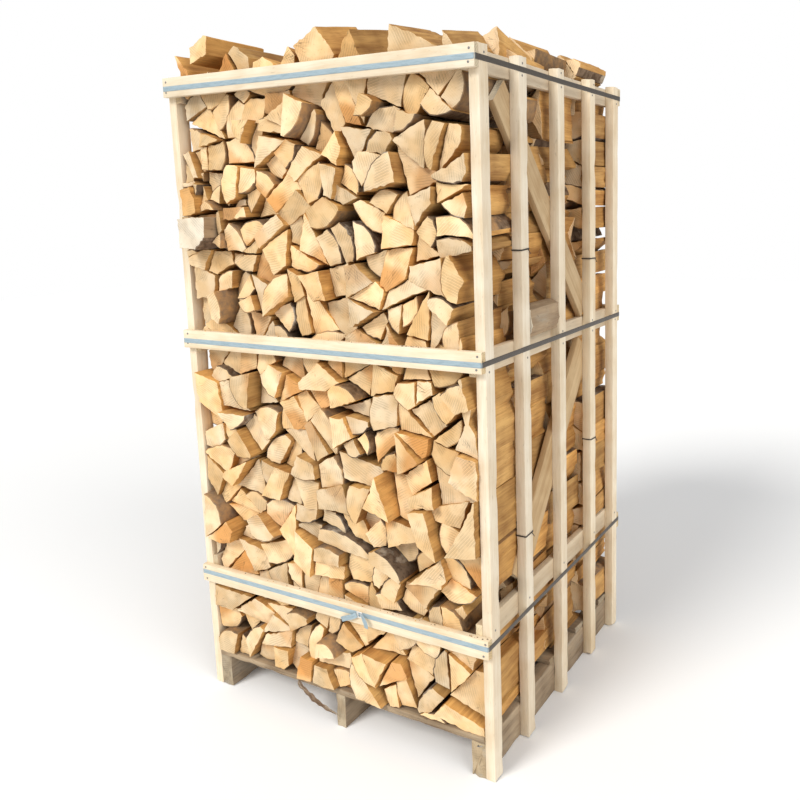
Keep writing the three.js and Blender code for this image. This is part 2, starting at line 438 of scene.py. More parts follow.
WEATHER = Effect(
    "weather",
    {"Colour": (0.8, 0.8, 0.8), "At": "", "Tone": 0.0, "Grey": (0.5, 0.48, 0.44), "Amount": 0.3, "Dirt": 0.3},
    {"Colour": "Color", "Mask": "Float"},
    lay_weather,
)


def lay_knots(canvas: Canvas, inputs: dict) -> dict:
    """Knots: a dark eye in a brown ring, a few in each metre.

    Args:
        canvas: The group's canvas.
        inputs: The group's input sockets.

    Returns:
        The socket of the colour with knots.
    """
    at = inputs["At"]
    seed = canvas.times(inputs["Tone"], 11.0)
    cells = canvas.add(
        "TexVoronoi",
        {"Vector": canvas.stretch(at, (1.0, 0.6, 1.0)), "W": seed, "Scale": 9.0, "Randomness": 1.0},
        voronoi_dimensions="4D",
    )
    chance = canvas.add("SeparateColor", {0: cells.outputs["Color"]}).outputs[0]
    chosen = canvas.sum("LESS_THAN", chance, inputs["Share"])
    edge = canvas.line(canvas.noise(at, 60.0, seed, 1.0), 0.05, cells.outputs["Distance"])
    ring = canvas.times(canvas.without(canvas.fade(edge, 0.1, 0.17)), chosen)
    eye = canvas.times(canvas.without(canvas.fade(edge, 0.05, 0.085)), chosen)
    browned = canvas.mix(canvas.times(ring, 0.6), inputs["Colour"], KNOT_RING)
    return {"Colour": canvas.mix(eye, browned, KNOT_EYE)}


KNOTS = Effect(
    "knots",
    {"Colour": (0.8, 0.8, 0.8), "At": "", "Tone": 0.0, "Share": 0.1},
    {"Colour": "Color"},
    lay_knots,
)


# ---- Finishes ----


class Finish:
    """A named material that is built once, when a piece first asks for it."""

    name: str

    def material(self) -> bpy.types.Material:
        """Returns the material, building it the first time."""
        if self.name in bpy.data.materials:
            return bpy.data.materials[self.name]
        made = bpy.data.materials.new(self.name)
        made.use_nodes = True
        made.node_tree.nodes.clear()
        canvas = Canvas(made.node_tree)
        shader = canvas.add("BsdfPrincipled")
        canvas.add("OutputMaterial", {0: shader.outputs[0]})
        self.dress(canvas, shader)
        return made

    def dress(self, canvas: Canvas, shader: bpy.types.Node) -> None:
        """Feeds the shader. Each finish has its own way.

        Args:
            canvas: The material's canvas.
            shader: Its Principled shader.
        """
        raise NotImplementedError


def emboss(canvas: Canvas, shader: bpy.types.Node, height: object, depth: float, strength: float) -> None:
    """Feeds a height through a Bump node into a shader's normal.

    Args:
        canvas: The material's canvas.
        shader: The shader.
        height: The height's socket.
        depth: How deep a height of 1 is, in metres.
        strength: The Bump node's strength.
    """
    bump = canvas.add("Bump", {"Height": height, "Distance": depth, "Strength": strength})
    canvas.feed(shader.inputs["Normal"], bump.outputs[0])


@dataclass(frozen=True)
class SawnEnd(Finish):
    """The cross-cut end of a log or board."""

    name: str
    sapwood: Colour
    tan: Colour
    heart: Colour
    grey: Colour
    ring_pitch: float = 0.0034
    lightness: float = 0.22
    warmth: float = 0.24
    greyed: float = 0.05
    dirt: float = 0.1
    roughness: float = 0.82

    def dress(self, canvas: Canvas, shader: bpy.types.Node) -> None:
        """Rings, saw lines and heart, then each end's own shade, then weathering.

        Args:
            canvas: The material's canvas.
            shader: Its Principled shader.
        """
        at, tone = canvas.named("timber"), canvas.named("tone", "Fac")
        end = SAWN_END.place(
            canvas, At=at, Tone=tone, Sapwood=self.sapwood, Tan=self.tan, Heart=self.heart,
            Ring_pitch=self.ring_pitch,
        )
        own = OWN_SHADE.place(
            canvas, Colour=end["Colour"], Tone=tone, Lightness=self.lightness, Warmth=self.warmth
        )
        worn = WEATHER.place(
            canvas, Colour=own["Colour"], At=at, Tone=tone, Grey=self.grey, Amount=self.greyed, Dirt=self.dirt
        )
        surface = {"Base Color": worn["Colour"], "Roughness": self.roughness, "Specular IOR Level": 0.25}
        canvas.fill(shader, surface)
        emboss(canvas, shader, end["Height"], 0.0006, 0.5)


@dataclass(frozen=True)
class LongGrain(Finish):
    """A split or sawn face that shows the fibres lengthwise."""

    name: str
    light: Colour
    dark: Colour
    grey: Colour
    contrast: float = 2.2
    lightness: float = 0.25
    warmth: float = 0.2
    greyed: float = 0.1
    dirt: float = 0.2
    knots: float = 0.08
    depth: float = 0.0012
    roughness: float = 0.78

    def dress(self, canvas: Canvas, shader: bpy.types.Node) -> None:
        """Grain, then each piece's own shade, knots and weathering.

        Args:
            canvas: The material's canvas.
            shader: Its Principled shader.
        """
        at, tone = canvas.named("timber"), canvas.named("tone", "Fac")
        grain = LONG_GRAIN.place(
            canvas, At=at, Tone=tone, Light=self.light, Dark=self.dark, Contrast=self.contrast
        )
        own = OWN_SHADE.place(
            canvas, Colour=grain["Colour"], Tone=tone, Lightness=self.lightness, Warmth=self.warmth
        )
        knotty = KNOTS.place(canvas, Colour=own["Colour"], At=at, Tone=tone, Share=self.knots)
        worn = WEATHER.place(
            canvas, Colour=knotty["Colour"], At=at, Tone=tone, Grey=self.grey, Amount=self.greyed,
            Dirt=self.dirt,
        )
        rough = canvas.line(worn["Mask"], 0.1, self.roughness)
        surface = {"Base Color": worn["Colour"], "Roughness": rough, "Specular IOR Level": 0.3}
        canvas.fill(shader, surface)
        emboss(canvas, shader, grain["Height"], self.depth, 0.6)


@dataclass(frozen=True)
class Bark(Finish):
    """Birch bark, grey-brown with pale papery patches and dark slits, gone from some of the logs."""

    name: str
    brown: Colour
    grey: Colour
    pale: Colour
    bare: Colour
    slits: Colour = (0.3, 0.26, 0.22)
    kept: float = 0.5

    def dress(self, canvas: Canvas, shader: bpy.types.Node) -> None:
        """Mottled bark with slits and curled patches.

        Args:
            canvas: The material's canvas.
            shader: Its Principled shader.
        """
        at, tone = canvas.named("timber"), canvas.named("tone", "Fac")
        seed = canvas.times(tone, 31.0)
        mottle = canvas.noise(at, 38.0, seed, 5.0, 0.65)
        colour = canvas.mix(canvas.fade(mottle, 0.35, 0.62), self.brown, self.grey)
        drawn = canvas.stretch(at, (1.0, 0.7, 1.0))
        papery = canvas.noise(drawn, 17.0, canvas.sum("ADD", seed, 4.0), 4.0, 0.6)
        colour = canvas.mix(canvas.fade(papery, 0.55, 0.66), colour, self.pale)
        slits = canvas.noise(canvas.stretch(at, (0.35, 3.2, 0.35)), 70.0, seed, 3.0, 0.6)
        slit = canvas.fade(slits, 0.62, 0.7)
        colour = canvas.mix(slit, colour, self.slits, "MULTIPLY")
        chance = canvas.line(canvas.sum("SUBTRACT", papery, 0.5), 0.25, canvas.chance(tone, 5.3))
        fibres = canvas.mix(canvas.fade(mottle, 0.3, 0.7), self.grey, self.bare)
        colour = canvas.mix(canvas.fade(chance, self.kept, self.kept + 0.04), colour, fibres)
        own = OWN_SHADE.place(canvas, Colour=colour, Tone=tone, Lightness=0.5, Warmth=0.25)
        surface = {"Base Color": own["Colour"], "Roughness": 0.85, "Specular IOR Level": 0.2}
        canvas.fill(shader, surface)
        rough = canvas.line(slit, -0.5, mottle)
        emboss(canvas, shader, rough, 0.003, 0.7)


@dataclass(frozen=True)
class Strapping(Finish):
    """Woven polyester strap: dark in its own colour, with a painted pale sheen where it runs over the
    battens.
    """

    name: str
    pale: Colour
    # pale is a painted sheen for the front and back runs, not the strap's colour; dark is the strap's own
    # colour.
    dark: Colour
    scuff: Colour = (0.72, 0.74, 0.76)
    furrow: Colour = (0.82, 0.83, 0.84)
    threads: float = 0.0011

    def dress(self, canvas: Canvas, shader: bpy.types.Node) -> None:
        """Lengthwise threads with a faint weft, over a painted pale sheen on the front and back runs.

        Args:
            canvas: The material's canvas.
            shader: Its Principled shader.
        """
        parts = canvas.add("SeparateXYZ", {0: canvas.named("timber")})
        warp = canvas.sum("SINE", canvas.times(parts.outputs[2], math.tau / self.threads))
        weft = canvas.sum("SINE", canvas.times(parts.outputs[1], math.tau / (2 * self.threads)))
        weave = canvas.line(canvas.times(warp, weft), 0.25, 0.5)
        weave = canvas.line(warp, 0.25, weave)
        scuffs = canvas.noise(canvas.stretch(canvas.named("timber"), (1.0, 0.12, 1.0)), 210.0, 0.0, 4.0, 0.7)
        # Painted sheen: the pale colour goes where the tone is 0, on the front and back runs; the strap's own
        # dark colour where it is 1, along the sides.
        colour = canvas.mix(canvas.named("tone", "Fac"), self.pale, self.dark)
        colour = canvas.mix(canvas.fade(scuffs, 0.42, 0.68), colour, self.scuff, "MULTIPLY")
        lined = canvas.sum("MULTIPLY", weave, 0.6, clamp=True)
        colour = canvas.mix(lined, colour, self.furrow, "MULTIPLY")
        canvas.fill(shader, {"Base Color": colour, "Roughness": 0.42})
        emboss(canvas, shader, weave, 0.0003, 0.5)


@dataclass(frozen=True)
class Wire(Finish):
    """Bare or dull metal wire and nail heads."""

    name: str
    bright: Colour
    dull: Colour
    metal: float = 0.9
    roughness: float = 0.38

    def dress(self, canvas: Canvas, shader: bpy.types.Node) -> None:
        """Metal with dull spots.

        Args:
            canvas: The material's canvas.
            shader: Its Principled shader.
        """
        spots = canvas.noise(canvas.named("timber"), 420.0, canvas.named("tone", "Fac"), 4.0, 0.6)
        dulled = canvas.fade(spots, 0.42, 0.66)
        colour = canvas.mix(dulled, self.bright, self.dull)
        rough = canvas.line(dulled, 0.3, self.roughness)
        canvas.fill(shader, {"Base Color": colour, "Roughness": rough, "Metallic": self.metal})
        emboss(canvas, shader, spots, 0.0002, 0.4)


@dataclass(frozen=True)
class PaleFloor(Finish):
    """A plain pale floor."""

    name: str
    colour: Colour

    def dress(self, canvas: Canvas, shader: bpy.types.Node) -> None:
        """One plain colour.

        Args:
            canvas: The material's canvas.
            shader: Its Principled shader.
        """
        canvas.fill(shader, {"Base Color": self.colour, "Roughness": 0.9, "Specular IOR Level": 0.1})


BIRCH_END = SawnEnd(
    "birch_end", (0.82, 0.62, 0.385), (0.72, 0.475, 0.235), (0.58, 0.28, 0.09), (0.62, 0.51, 0.38),
    lightness=0.36, warmth=0.24, greyed=0.14, dirt=0.5,
)
ORANGE_END = SawnEnd(
    "orange_end", (0.74, 0.47, 0.21), (0.66, 0.37, 0.13), (0.54, 0.24, 0.07), (0.60, 0.46, 0.31),
    lightness=0.1, warmth=0.1, greyed=0.05, dirt=0.3,
)
BIRCH_SPLIT = LongGrain(
    "birch_split", (0.66, 0.375, 0.12), (0.30, 0.135, 0.036), (0.42, 0.32, 0.21), contrast=3.4,
    lightness=0.5, warmth=0.2, greyed=0.1, dirt=0.5, knots=0.12,
)
BIRCH_BARK = Bark(
    "birch_bark", (0.085, 0.05, 0.028), (0.20, 0.135, 0.085), (0.38, 0.31, 0.23), (0.42, 0.235, 0.095)
)
OLD_END = SawnEnd(
    "weathered_end", (0.76, 0.65, 0.49), (0.66, 0.53, 0.37), (0.50, 0.34, 0.2), (0.62, 0.55, 0.45),
    greyed=0.4, dirt=0.6,
)
OLD_SPLIT = LongGrain(
    "weathered_split", (0.42, 0.29, 0.165), (0.19, 0.115, 0.06), (0.38, 0.32, 0.24), contrast=3.4,
    greyed=0.45, dirt=0.8,
)
LATH_FACE = LongGrain(
    "lath_face", (0.87, 0.78, 0.62), (0.64, 0.49, 0.31), (0.72, 0.67, 0.58), contrast=2.3, lightness=0.1,
    warmth=0.07, greyed=0.24, dirt=0.3, knots=0.1, depth=0.0006, roughness=0.72,
)
# Rails: the lath stock made darker as painted shade between the posts, and greyer with weathering.
RAIL_PAINTED_SHADE_WEATHERED = LongGrain(
    "rail_face", (0.74, 0.62, 0.45), (0.52, 0.39, 0.25), (0.60, 0.54, 0.45), contrast=2.0, lightness=0.12,
    warmth=0.08, greyed=0.35, dirt=0.3, depth=0.0006,
)
# Braces: the lath stock darkened to tan as painted shade, for where they lie between the posts.
BRACE_PAINTED_SHADE = LongGrain(
    "brace_face", (0.68, 0.49, 0.27), (0.42, 0.25, 0.105), (0.60, 0.50, 0.37), contrast=2.6, greyed=0.1,
    dirt=0.3, depth=0.0006,
)
LATH_END = SawnEnd(
    "lath_end", (0.74, 0.62, 0.43), (0.64, 0.50, 0.32), (0.55, 0.38, 0.2), (0.55, 0.51, 0.44),
    greyed=0.2,
)
PALLET_FACE = LongGrain(
    "pallet_face", (0.40, 0.31, 0.21), (0.15, 0.10, 0.06), (0.27, 0.24, 0.195), contrast=3.0, lightness=0.2,
    warmth=0.12, greyed=0.5, dirt=0.9, knots=0.12,
)
PALLET_END = SawnEnd(
    "pallet_end", (0.46, 0.38, 0.27), (0.34, 0.26, 0.17), (0.27, 0.18, 0.11), (0.36, 0.325, 0.27), greyed=0.5,
    dirt=0.8,
)
# The pale blue-grey is a painted sheen; the dark brown-grey is the strap's own colour.
STRAP_WEAVE = Strapping("strap_weave", (0.35, 0.45, 0.50), (0.075, 0.06, 0.045))
BUCKLE_WIRE = Wire("buckle_wire", (0.86, 0.86, 0.85), (0.50, 0.49, 0.46), metal=0.6, roughness=0.45)
NAIL_STEEL = Wire("nail_steel", (0.32, 0.31, 0.30), (0.14, 0.12, 0.10), metal=0.7, roughness=0.5)
TIE_WIRE = Wire("tie_wire", (0.10, 0.09, 0.08), (0.05, 0.04, 0.035), metal=0.6, roughness=0.5)


# ---- Meshes ----


def into_scene(name: str, data: bpy.types.ID) -> bpy.types.Object:
    """Makes an object and links it into the scene.

    Args:
        name: The object's name.
        data: Its mesh, lamp or camera.

    Returns:
        The object.
    """
    made = bpy.data.objects.new(name, data)
    bpy.context.scene.collection.objects.link(made)
    return made


@dataclass
class Stock:
    """Points and faces gathered for one mesh, with the timber place and tone of every point."""

    finishes: Sequence[Finish]
    points: list[Array] = field(default_factory=list)
    timber: list[Array] = field(default_factory=list)
    tones: list[Array] = field(default_factory=list)
    faces: list[Array] = field(default_factory=list)
    slots: list[Array] = field(default_factory=list)
    count: int = 0

    def put(self, points: Array, timber: Array, tone: float | Array) -> int:
        """Adds points, none of them below the floor.

        Args:
            points: Their places, in metres.
            timber: Where each is in its own log or board.
            tone: The log's or board's own number, or one for each point. On a strap it is 0 where the painted
                sheen goes and 1 along the sides.

        Returns:
            The index of the first point.
        """
        above = np.array(points, float).reshape(-1, 3)
        above[:, 2] = np.maximum(above[:, 2], 0.0)
        self.points.append(above)
        self.timber.append(np.asarray(timber, float).reshape(-1, 3))
        self.tones.append(np.broadcast_to(np.asarray(tone, float), (len(above),)))
        self.count += len(above)
        return self.count - len(above)

    def skin(self, faces: Array, slots: int | Array = 0) -> None:
        """Adds faces.

        Args:
            faces: Corner indices, one row for each face.
            slots: Which finish each face takes.
        """
        faces = np.asarray(faces, int)
        self.faces.append(faces)
        self.slots.append(np.broadcast_to(np.asarray(slots, int), (len(faces),)))

    def loft(self, rings: tuple[int, int], first: int, slots: int | Array = 0, looped: bool = False) -> None:
        """Skins a run of closed rings whose points were just added, ring after ring.

        Args:
            rings: How many rings, and how many points in each.
            first: Index of the first ring's first point.
            slots: Finish for each face round a ring.
            looped: Whether the last ring joins the first.
        """
        count, size = rings
        i = np.arange(size)
        j = (i + 1) % size
        for k in range(count if looped else count - 1):
            a, b = first + k * size, first + (k + 1) % count * size
            self.skin(np.stack([a + i, a + j, b + j, b + i], 1), slots)

    def fan(self, ring: Array, centre: int, slot: int, turned: bool = False) -> None:
        """Closes a ring with triangles to a middle point.

        Args:
            ring: Indices round the ring.
            centre: Index of the middle point.
            slot: The finish.
            turned: Whether the faces look the other way.
        """
        following = np.roll(ring, -1)
        pair = (following, ring) if turned else (ring, following)
        self.skin(np.stack([*pair, np.full(len(ring), centre)], 1), slot)

    def tube(self, rings: Sequence, timber: Sequence, tone: float, slots: int | Array = 0,
             cap: int = 0) -> None:
        """Adds a skin through a run of rings and closes both its ends.

        Args:
            rings: Each ring's points.
            timber: Where each point is in its own piece.
            tone: The piece's own number.
            slots: Finish for each face round a ring.
            cap: Finish of the ends.
        """
        rings, timber = np.array(rings, float), np.array(timber, float)
        count, size = rings.shape[:2]
        first = self.put(rings, timber, tone)
        self.loft((count, size), first, slots)
        for at, turned in ((0, True), (count - 1, False)):
            centre = self.put(rings[at].mean(0), timber[at].mean(0), tone)
            self.fan(first + at * size + np.arange(size), centre, cap, turned)

    def make(self, name: str, smooth: float = 35.0) -> bpy.types.Object:
        """Makes the mesh object.

        Args:
            name: The piece's name.
            smooth: Edges that turn more than this many degrees stay sharp.

        Returns:
            The object, linked into the scene.
        """
        mesh = bpy.data.meshes.new(name)
        points = np.vstack(self.points)
        sizes = np.concatenate([np.full(len(f), f.shape[1]) for f in self.faces])
        corners = np.concatenate([f.ravel() for f in self.faces])
        mesh.vertices.add(len(points))
        mesh.vertices.foreach_set("co", points.ravel())
        mesh.loops.add(len(corners))
        mesh.loops.foreach_set("vertex_index", corners)
        mesh.polygons.add(len(sizes))
        mesh.polygons.foreach_set("loop_start", np.concatenate([[0], np.cumsum(sizes)[:-1]]))
        mesh.polygons.foreach_set("material_index", np.concatenate(self.slots))
        mesh.update(calc_edges=True)
        place = mesh.attributes.new("timber", "FLOAT_VECTOR", "POINT")
        place.data.foreach_set("vector", np.vstack(self.timber).ravel())
        tone = mesh.attributes.new("tone", "FLOAT", "POINT")
        tone.data.foreach_set("value", np.concatenate(self.tones))
        for finish in self.finishes:
            mesh.materials.append(finish.material())
        mesh.polygons.foreach_set("use_smooth", np.ones(len(sizes), bool))
        mesh.set_sharp_from_angle(angle=math.radians(smooth))
        return into_scene(name, mesh)


def hand_over(piece: bpy.types.Object, slot: str, *nodes: str) -> None:
    """Ties a finished piece to the crate and reports it.

    Args:
        piece: The piece.
        slot: The record's material slot; not used.
        nodes: The CAD nodes it stands for.
    """
    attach(piece, "root")
    if nodes:
        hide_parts(*nodes)
    log.info("%s: %d faces", piece.name, len(piece.data.polygons))


def ripple(rng: Rng, count: int, low: float, high: float) -> Callable[[Array, Array], Array]:
    """Makes a smooth random surface from a few waves.

    Args:
        rng: Random numbers.
        count: How many waves.
        low: Lowest number of waves in a metre.
        high: Highest number of waves in a metre.

    Returns:
        A function of two coordinates that gives about -1 to 1.
    """
    pitch = rng.uniform(low, high, count)
    heading = rng.uniform(0, math.tau, count)
    start = rng.uniform(0, math.tau, count)
    weight = rng.uniform(0.5, 1.0, count)
    weight /= weight.sum()

    def surface(a: Array, b: Array) -> Array:
        """Height at (a, b)."""
        total = np.zeros(np.broadcast(a, b).shape)
        for p, h, s, w in zip(pitch, heading, start, weight):
            total = total + w * np.sin(math.tau * p * (a * math.cos(h) + b * math.sin(h)) + s)
        return total * 1.6

    return surface


def node_points(node: str) -> Array:
    """Returns a CAD node's corners, each once, in metres."""
    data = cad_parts[node].data
    flat = np.zeros(len(data.vertices) * 3)
    data.vertices.foreach_get("co", flat)
    return np.unique(np.round(flat.reshape(-1, 3), 5), axis=0)


# ---- Boards ----


@dataclass(frozen=True)
class BoardShape:
    """How a kind of board is worked: how its edges, faces and ends depart from a plain bar."""

    edge: float = 0.0012
    wane: float = 0.0015
    wander: float = 0.0006
    ragged_low: float = 0.001
    ragged_high: float = 0.001
    pitch: float = 0.02


@dataclass
class Board:
    """One board: a corner and three edges, shortest first, taken from its CAD node."""

    corner: Array
    thickness: Array
    width: Array
    length: Array

    @classmethod
    def from_node(cls, node: str) -> "Board":
        """Reads a board from the corners of its CAD node.

        Args:
            node: The node's name.

        Returns:
            The board, with its length pointing up, back or right and its edges right-handed.
        """
        points = node_points(node)
        edges = points[1:] - points[0]
        units = edges / np.linalg.norm(edges, axis=1)[:, None]
        for trio in combinations(range(len(edges)), 3):
            dots = [abs(units[a] @ units[b]) for a, b in combinations(trio, 2)]
            if max(dots) < 2e-3:
                break
        sides = sorted((edges[i] for i in trio), key=np.linalg.norm)
        corner = points[0].copy()
        for i, side in enumerate(sides):
            if side[np.argmax(np.abs(side))] < 0:
                corner += side
                sides[i] = -side
        if np.linalg.det(sides) < 0:
            corner += sides[0]
            sides[0] = -sides[0]
        return cls(corner, *sides)

    def sizes(self) -> tuple[float, float, float]:
        """Returns thickness, width and length."""
        return tuple(float(np.linalg.norm(v)) for v in (self.thickness, self.width, self.length))

    def place(self, t: Array, w: Array, s: Array) -> Array:
        """Returns points at distances along the thickness, width and length.

        Args:
            t: Distance along the thickness.
            w: Distance along the width.
            s: Distance along the length.

        Returns:
            Points in the crate's frame.
        """
        units = [v / np.linalg.norm(v) for v in (self.thickness, self.width, self.length)]
        return self.corner + sum(np.asarray(d)[..., None] * u for d, u in zip((t, w, s), units))

    def cut_into(self, stock: Stock, shape: BoardShape, rng: Rng) -> None:
        """Adds the board's surface to a stock.

        Args:
            stock: Where the faces go: finish 0 for faces, finish 1 for ends.
            shape: How the board is worked.
            rng: Random numbers.
        """
        thick, wide, long = self.sizes()
        tone = rng.uniform()
        stations = max(6, round(long / shape.pitch))
        s = np.linspace(0, long, stations)
        bow = ripple(rng, 3, 0.3, 1.6)
        edge_wave = [ripple(rng, 5, 1.0, 14.0) for _ in range(4)]
        rings = []
        for at in s:
            ring = []
            shift_w = shape.wander * float(bow(at, 0.0))
            for c, (ct, cw) in enumerate(((0, 0), (1, 0), (1, 1), (0, 1))):
                ease = shape.edge + shape.wane * max(0.0, float(edge_wave[c](at, 0.3 * c))) ** 2
                ease = min(ease, 0.4 * thick)
                corner = np.array([ct * thick, cw * wide])
                inward = np.array([1 - 2 * ct, 1 - 2 * cw])
                first = corner + inward * ((ease, 0.0) if c % 2 else (0.0, ease))
                last = corner + inward * ((0.0, ease) if c % 2 else (ease, 0.0))
                middle = corner + inward * ease * 0.29
                ring += [first, middle, last]
                if c in (0, 2):
                    ring.append(np.array([thick / 2, cw * wide]))
                else:
                    quarter = [wide * q for q in ((0.33, 0.67) if c == 1 else (0.67, 0.33))]
                    ring += [np.array([ct * thick, q]) for q in quarter]
            rings.append(np.array(ring) + (0.0, shift_w))
        flat = np.array(rings)
        ring_size = flat.shape[1]
        i = np.arange(ring_size)
        j = (i + 1) % ring_size
        length = np.broadcast_to(s[:, None], flat.shape[:2]).copy()
        torn = ripple(rng, 7, 20.0, 160.0)
        length[0] += shape.ragged_low * np.abs(torn(flat[0, :, 0], flat[0, :, 1]))
        length[-1] -= shape.ragged_high * np.abs(torn(flat[-1, :, 0], flat[-1, :, 1] + 1.0))
        offset = rng.uniform(-0.03, 0.03, 2)

        def put(flat: Array, along: Array | float) -> int:
            """Adds points at a thickness and width each, and at distances along the board."""
            t, w = flat[..., 0], flat[..., 1]
            timber = np.stack([t + offset[0], along, w + offset[1]], -1)
            return stock.put(self.place(t, w, along), timber, tone)

        first = put(flat, length)
        stock.loft((stations, ring_size), first)
        for at, raggedness, turned in ((0, shape.ragged_low, True), (stations - 1, shape.ragged_high, False)):
            ring = first + at * ring_size + i
            middle = flat[at].mean(0)
            inner = middle + (flat[at] - middle) * 0.55
            depth = raggedness * np.abs(torn(inner[:, 0] * 1.7, inner[:, 1] + 2.0 + at))
            inside = put(inner, depth if at == 0 else long - depth)
            quads = [ring, ring[j], inside + j, inside + i]
            stock.skin(np.stack(quads[::-1] if turned else quads, 1), 1)
            centre = put(middle, 0.0 if at == 0 else long)
            stock.fan(inside + i, centre, 1, turned)


@dataclass
class FrameBoards:
    """The crate's posts, rails, braces and battens."""

    post: BoardShape = BoardShape(0.0014, 0.004, 0.0014, ragged_low=0.007, ragged_high=0.0025, pitch=0.016)
    lath: BoardShape = BoardShape(wane=0.0028, wander=0.001, ragged_low=0.002, ragged_high=0.002)
    batten: BoardShape = BoardShape(wane=0.0028, wander=0.0, ragged_low=0.002, ragged_high=0.002)
    seed: int = 11

    def names(self) -> dict[str, BoardShape]:
        """Returns every frame board's node with the way it is worked."""
        boards = {f"post_{side}_{i}": self.post for side in SIDES for i in range(1, 6)}
        for belt in BELTS:
            boards |= {f"rail_{side}_{belt}": self.lath for side in SIDES}
            boards |= {f"batten_{face}_{belt}": self.batten for face in ("front", "back")}
        boards |= {f"brace_{side}_{part}": self.lath for side in SIDES for part in ("lower", "upper")}
        return boards

    def build(self) -> None:
        """Builds every board as a piece of its own."""
        for i, (node, shape) in enumerate(self.names().items()):
            rng = np.random.default_rng(self.seed * 1000 + i)
            # The rails and braces take darker copies of the lath finish as painted shade; the rails are also
            # greyed by weathering.
            face = {"brace": BRACE_PAINTED_SHADE, "rail": RAIL_PAINTED_SHADE_WEATHERED}.get(node.split("_")[0], LATH_FACE)
            stock = Stock((face, LATH_END))
            Board.from_node(node).cut_into(stock, shape, rng)
            hand_over(stock.make(node + "_timber"), "lath", node)


@dataclass
class Pallet:
    """The runners and deck boards under the logs, rough sawn and weathered."""

    runner: BoardShape = BoardShape(0.002, 0.009, 0.0015, ragged_low=0.009, ragged_high=0.009, pitch=0.014)
    deck: BoardShape = BoardShape(0.002, 0.009, 0.0015, ragged_low=0.005, ragged_high=0.005, pitch=0.014)
    seed: int = 23

    def build(self) -> None:
        """Builds every pallet board as a piece of its own."""
        boards = {f"runner_{place}": self.runner for place in ("left", "middle", "right")}
        boards |= {f"deck_board_{i}": self.deck for i in range(1, 6)}
        for i, (node, shape) in enumerate(boards.items()):
            stock = Stock((PALLET_FACE, PALLET_END))
            Board.from_node(node).cut_into(stock, shape, np.random.default_rng(self.seed * 1000 + i))
            hand_over(stock.make(node + "_timber"), "pallet", node)


# ---- Logs ----


@dataclass(frozen=True)
class Section:
    """One log's section: points round it, which stretches are bark, and where the pith was."""

    outline: Array
    bark: Array
    pith: Array


def area_of(polygon: Array) -> float:
    """Returns a polygon's area, positive when it runs anticlockwise."""
    x, z = polygon[:, 0], polygon[:, 1]
    return 0.5 * float(np.sum(x * np.roll(z, -1) - np.roll(x, -1) * z))


def keep_side(polygon: Array, point: Array, normal: Array) -> Array:
    """Cuts a convex polygon with a line and keeps one part.

    Args:
        polygon: Corners in order.
        point: A point on the line.
        normal: Points away from the part that is kept.

    Returns:
        The kept part's corners, perhaps none.
    """
    side = (polygon - point) @ normal
    kept = []
    for i in range(len(polygon)):
        j = (i + 1) % len(polygon)
        if side[i] <= 0:
            kept.append(polygon[i])
        if (side[i] < 0 < side[j]) or (side[j] < 0 < side[i]):
            share = side[i] / (side[i] - side[j])
            kept.append(polygon[i] + share * (polygon[j] - polygon[i]))
    return np.array(kept).reshape(-1, 2)


def edge_ways(a: Array, b: Array) -> tuple[Array, Array]:
    """Returns an edge's direction and its outward normal, the polygon being anticlockwise."""
    way = (b - a) / max(np.linalg.norm(b - a), 1e-9)
    return way, np.array([way[1], -way[0]])


def tidy(polygon: Array, shortest: float = 0.006) -> Array:
    """Drops corners that lie closer together than `shortest`."""
    kept = [p for i, p in enumerate(polygon) if np.linalg.norm(p - polygon[i - 1]) > shortest]
    return np.array(kept).reshape(-1, 2)


def thinness(polygon: Array) -> float:
    """Returns a polygon's area over its longest diagonal, about half its width."""
    gaps = polygon[:, None] - polygon[None]
    return abs(area_of(polygon)) / float(np.linalg.norm(gaps, axis=-1).max())


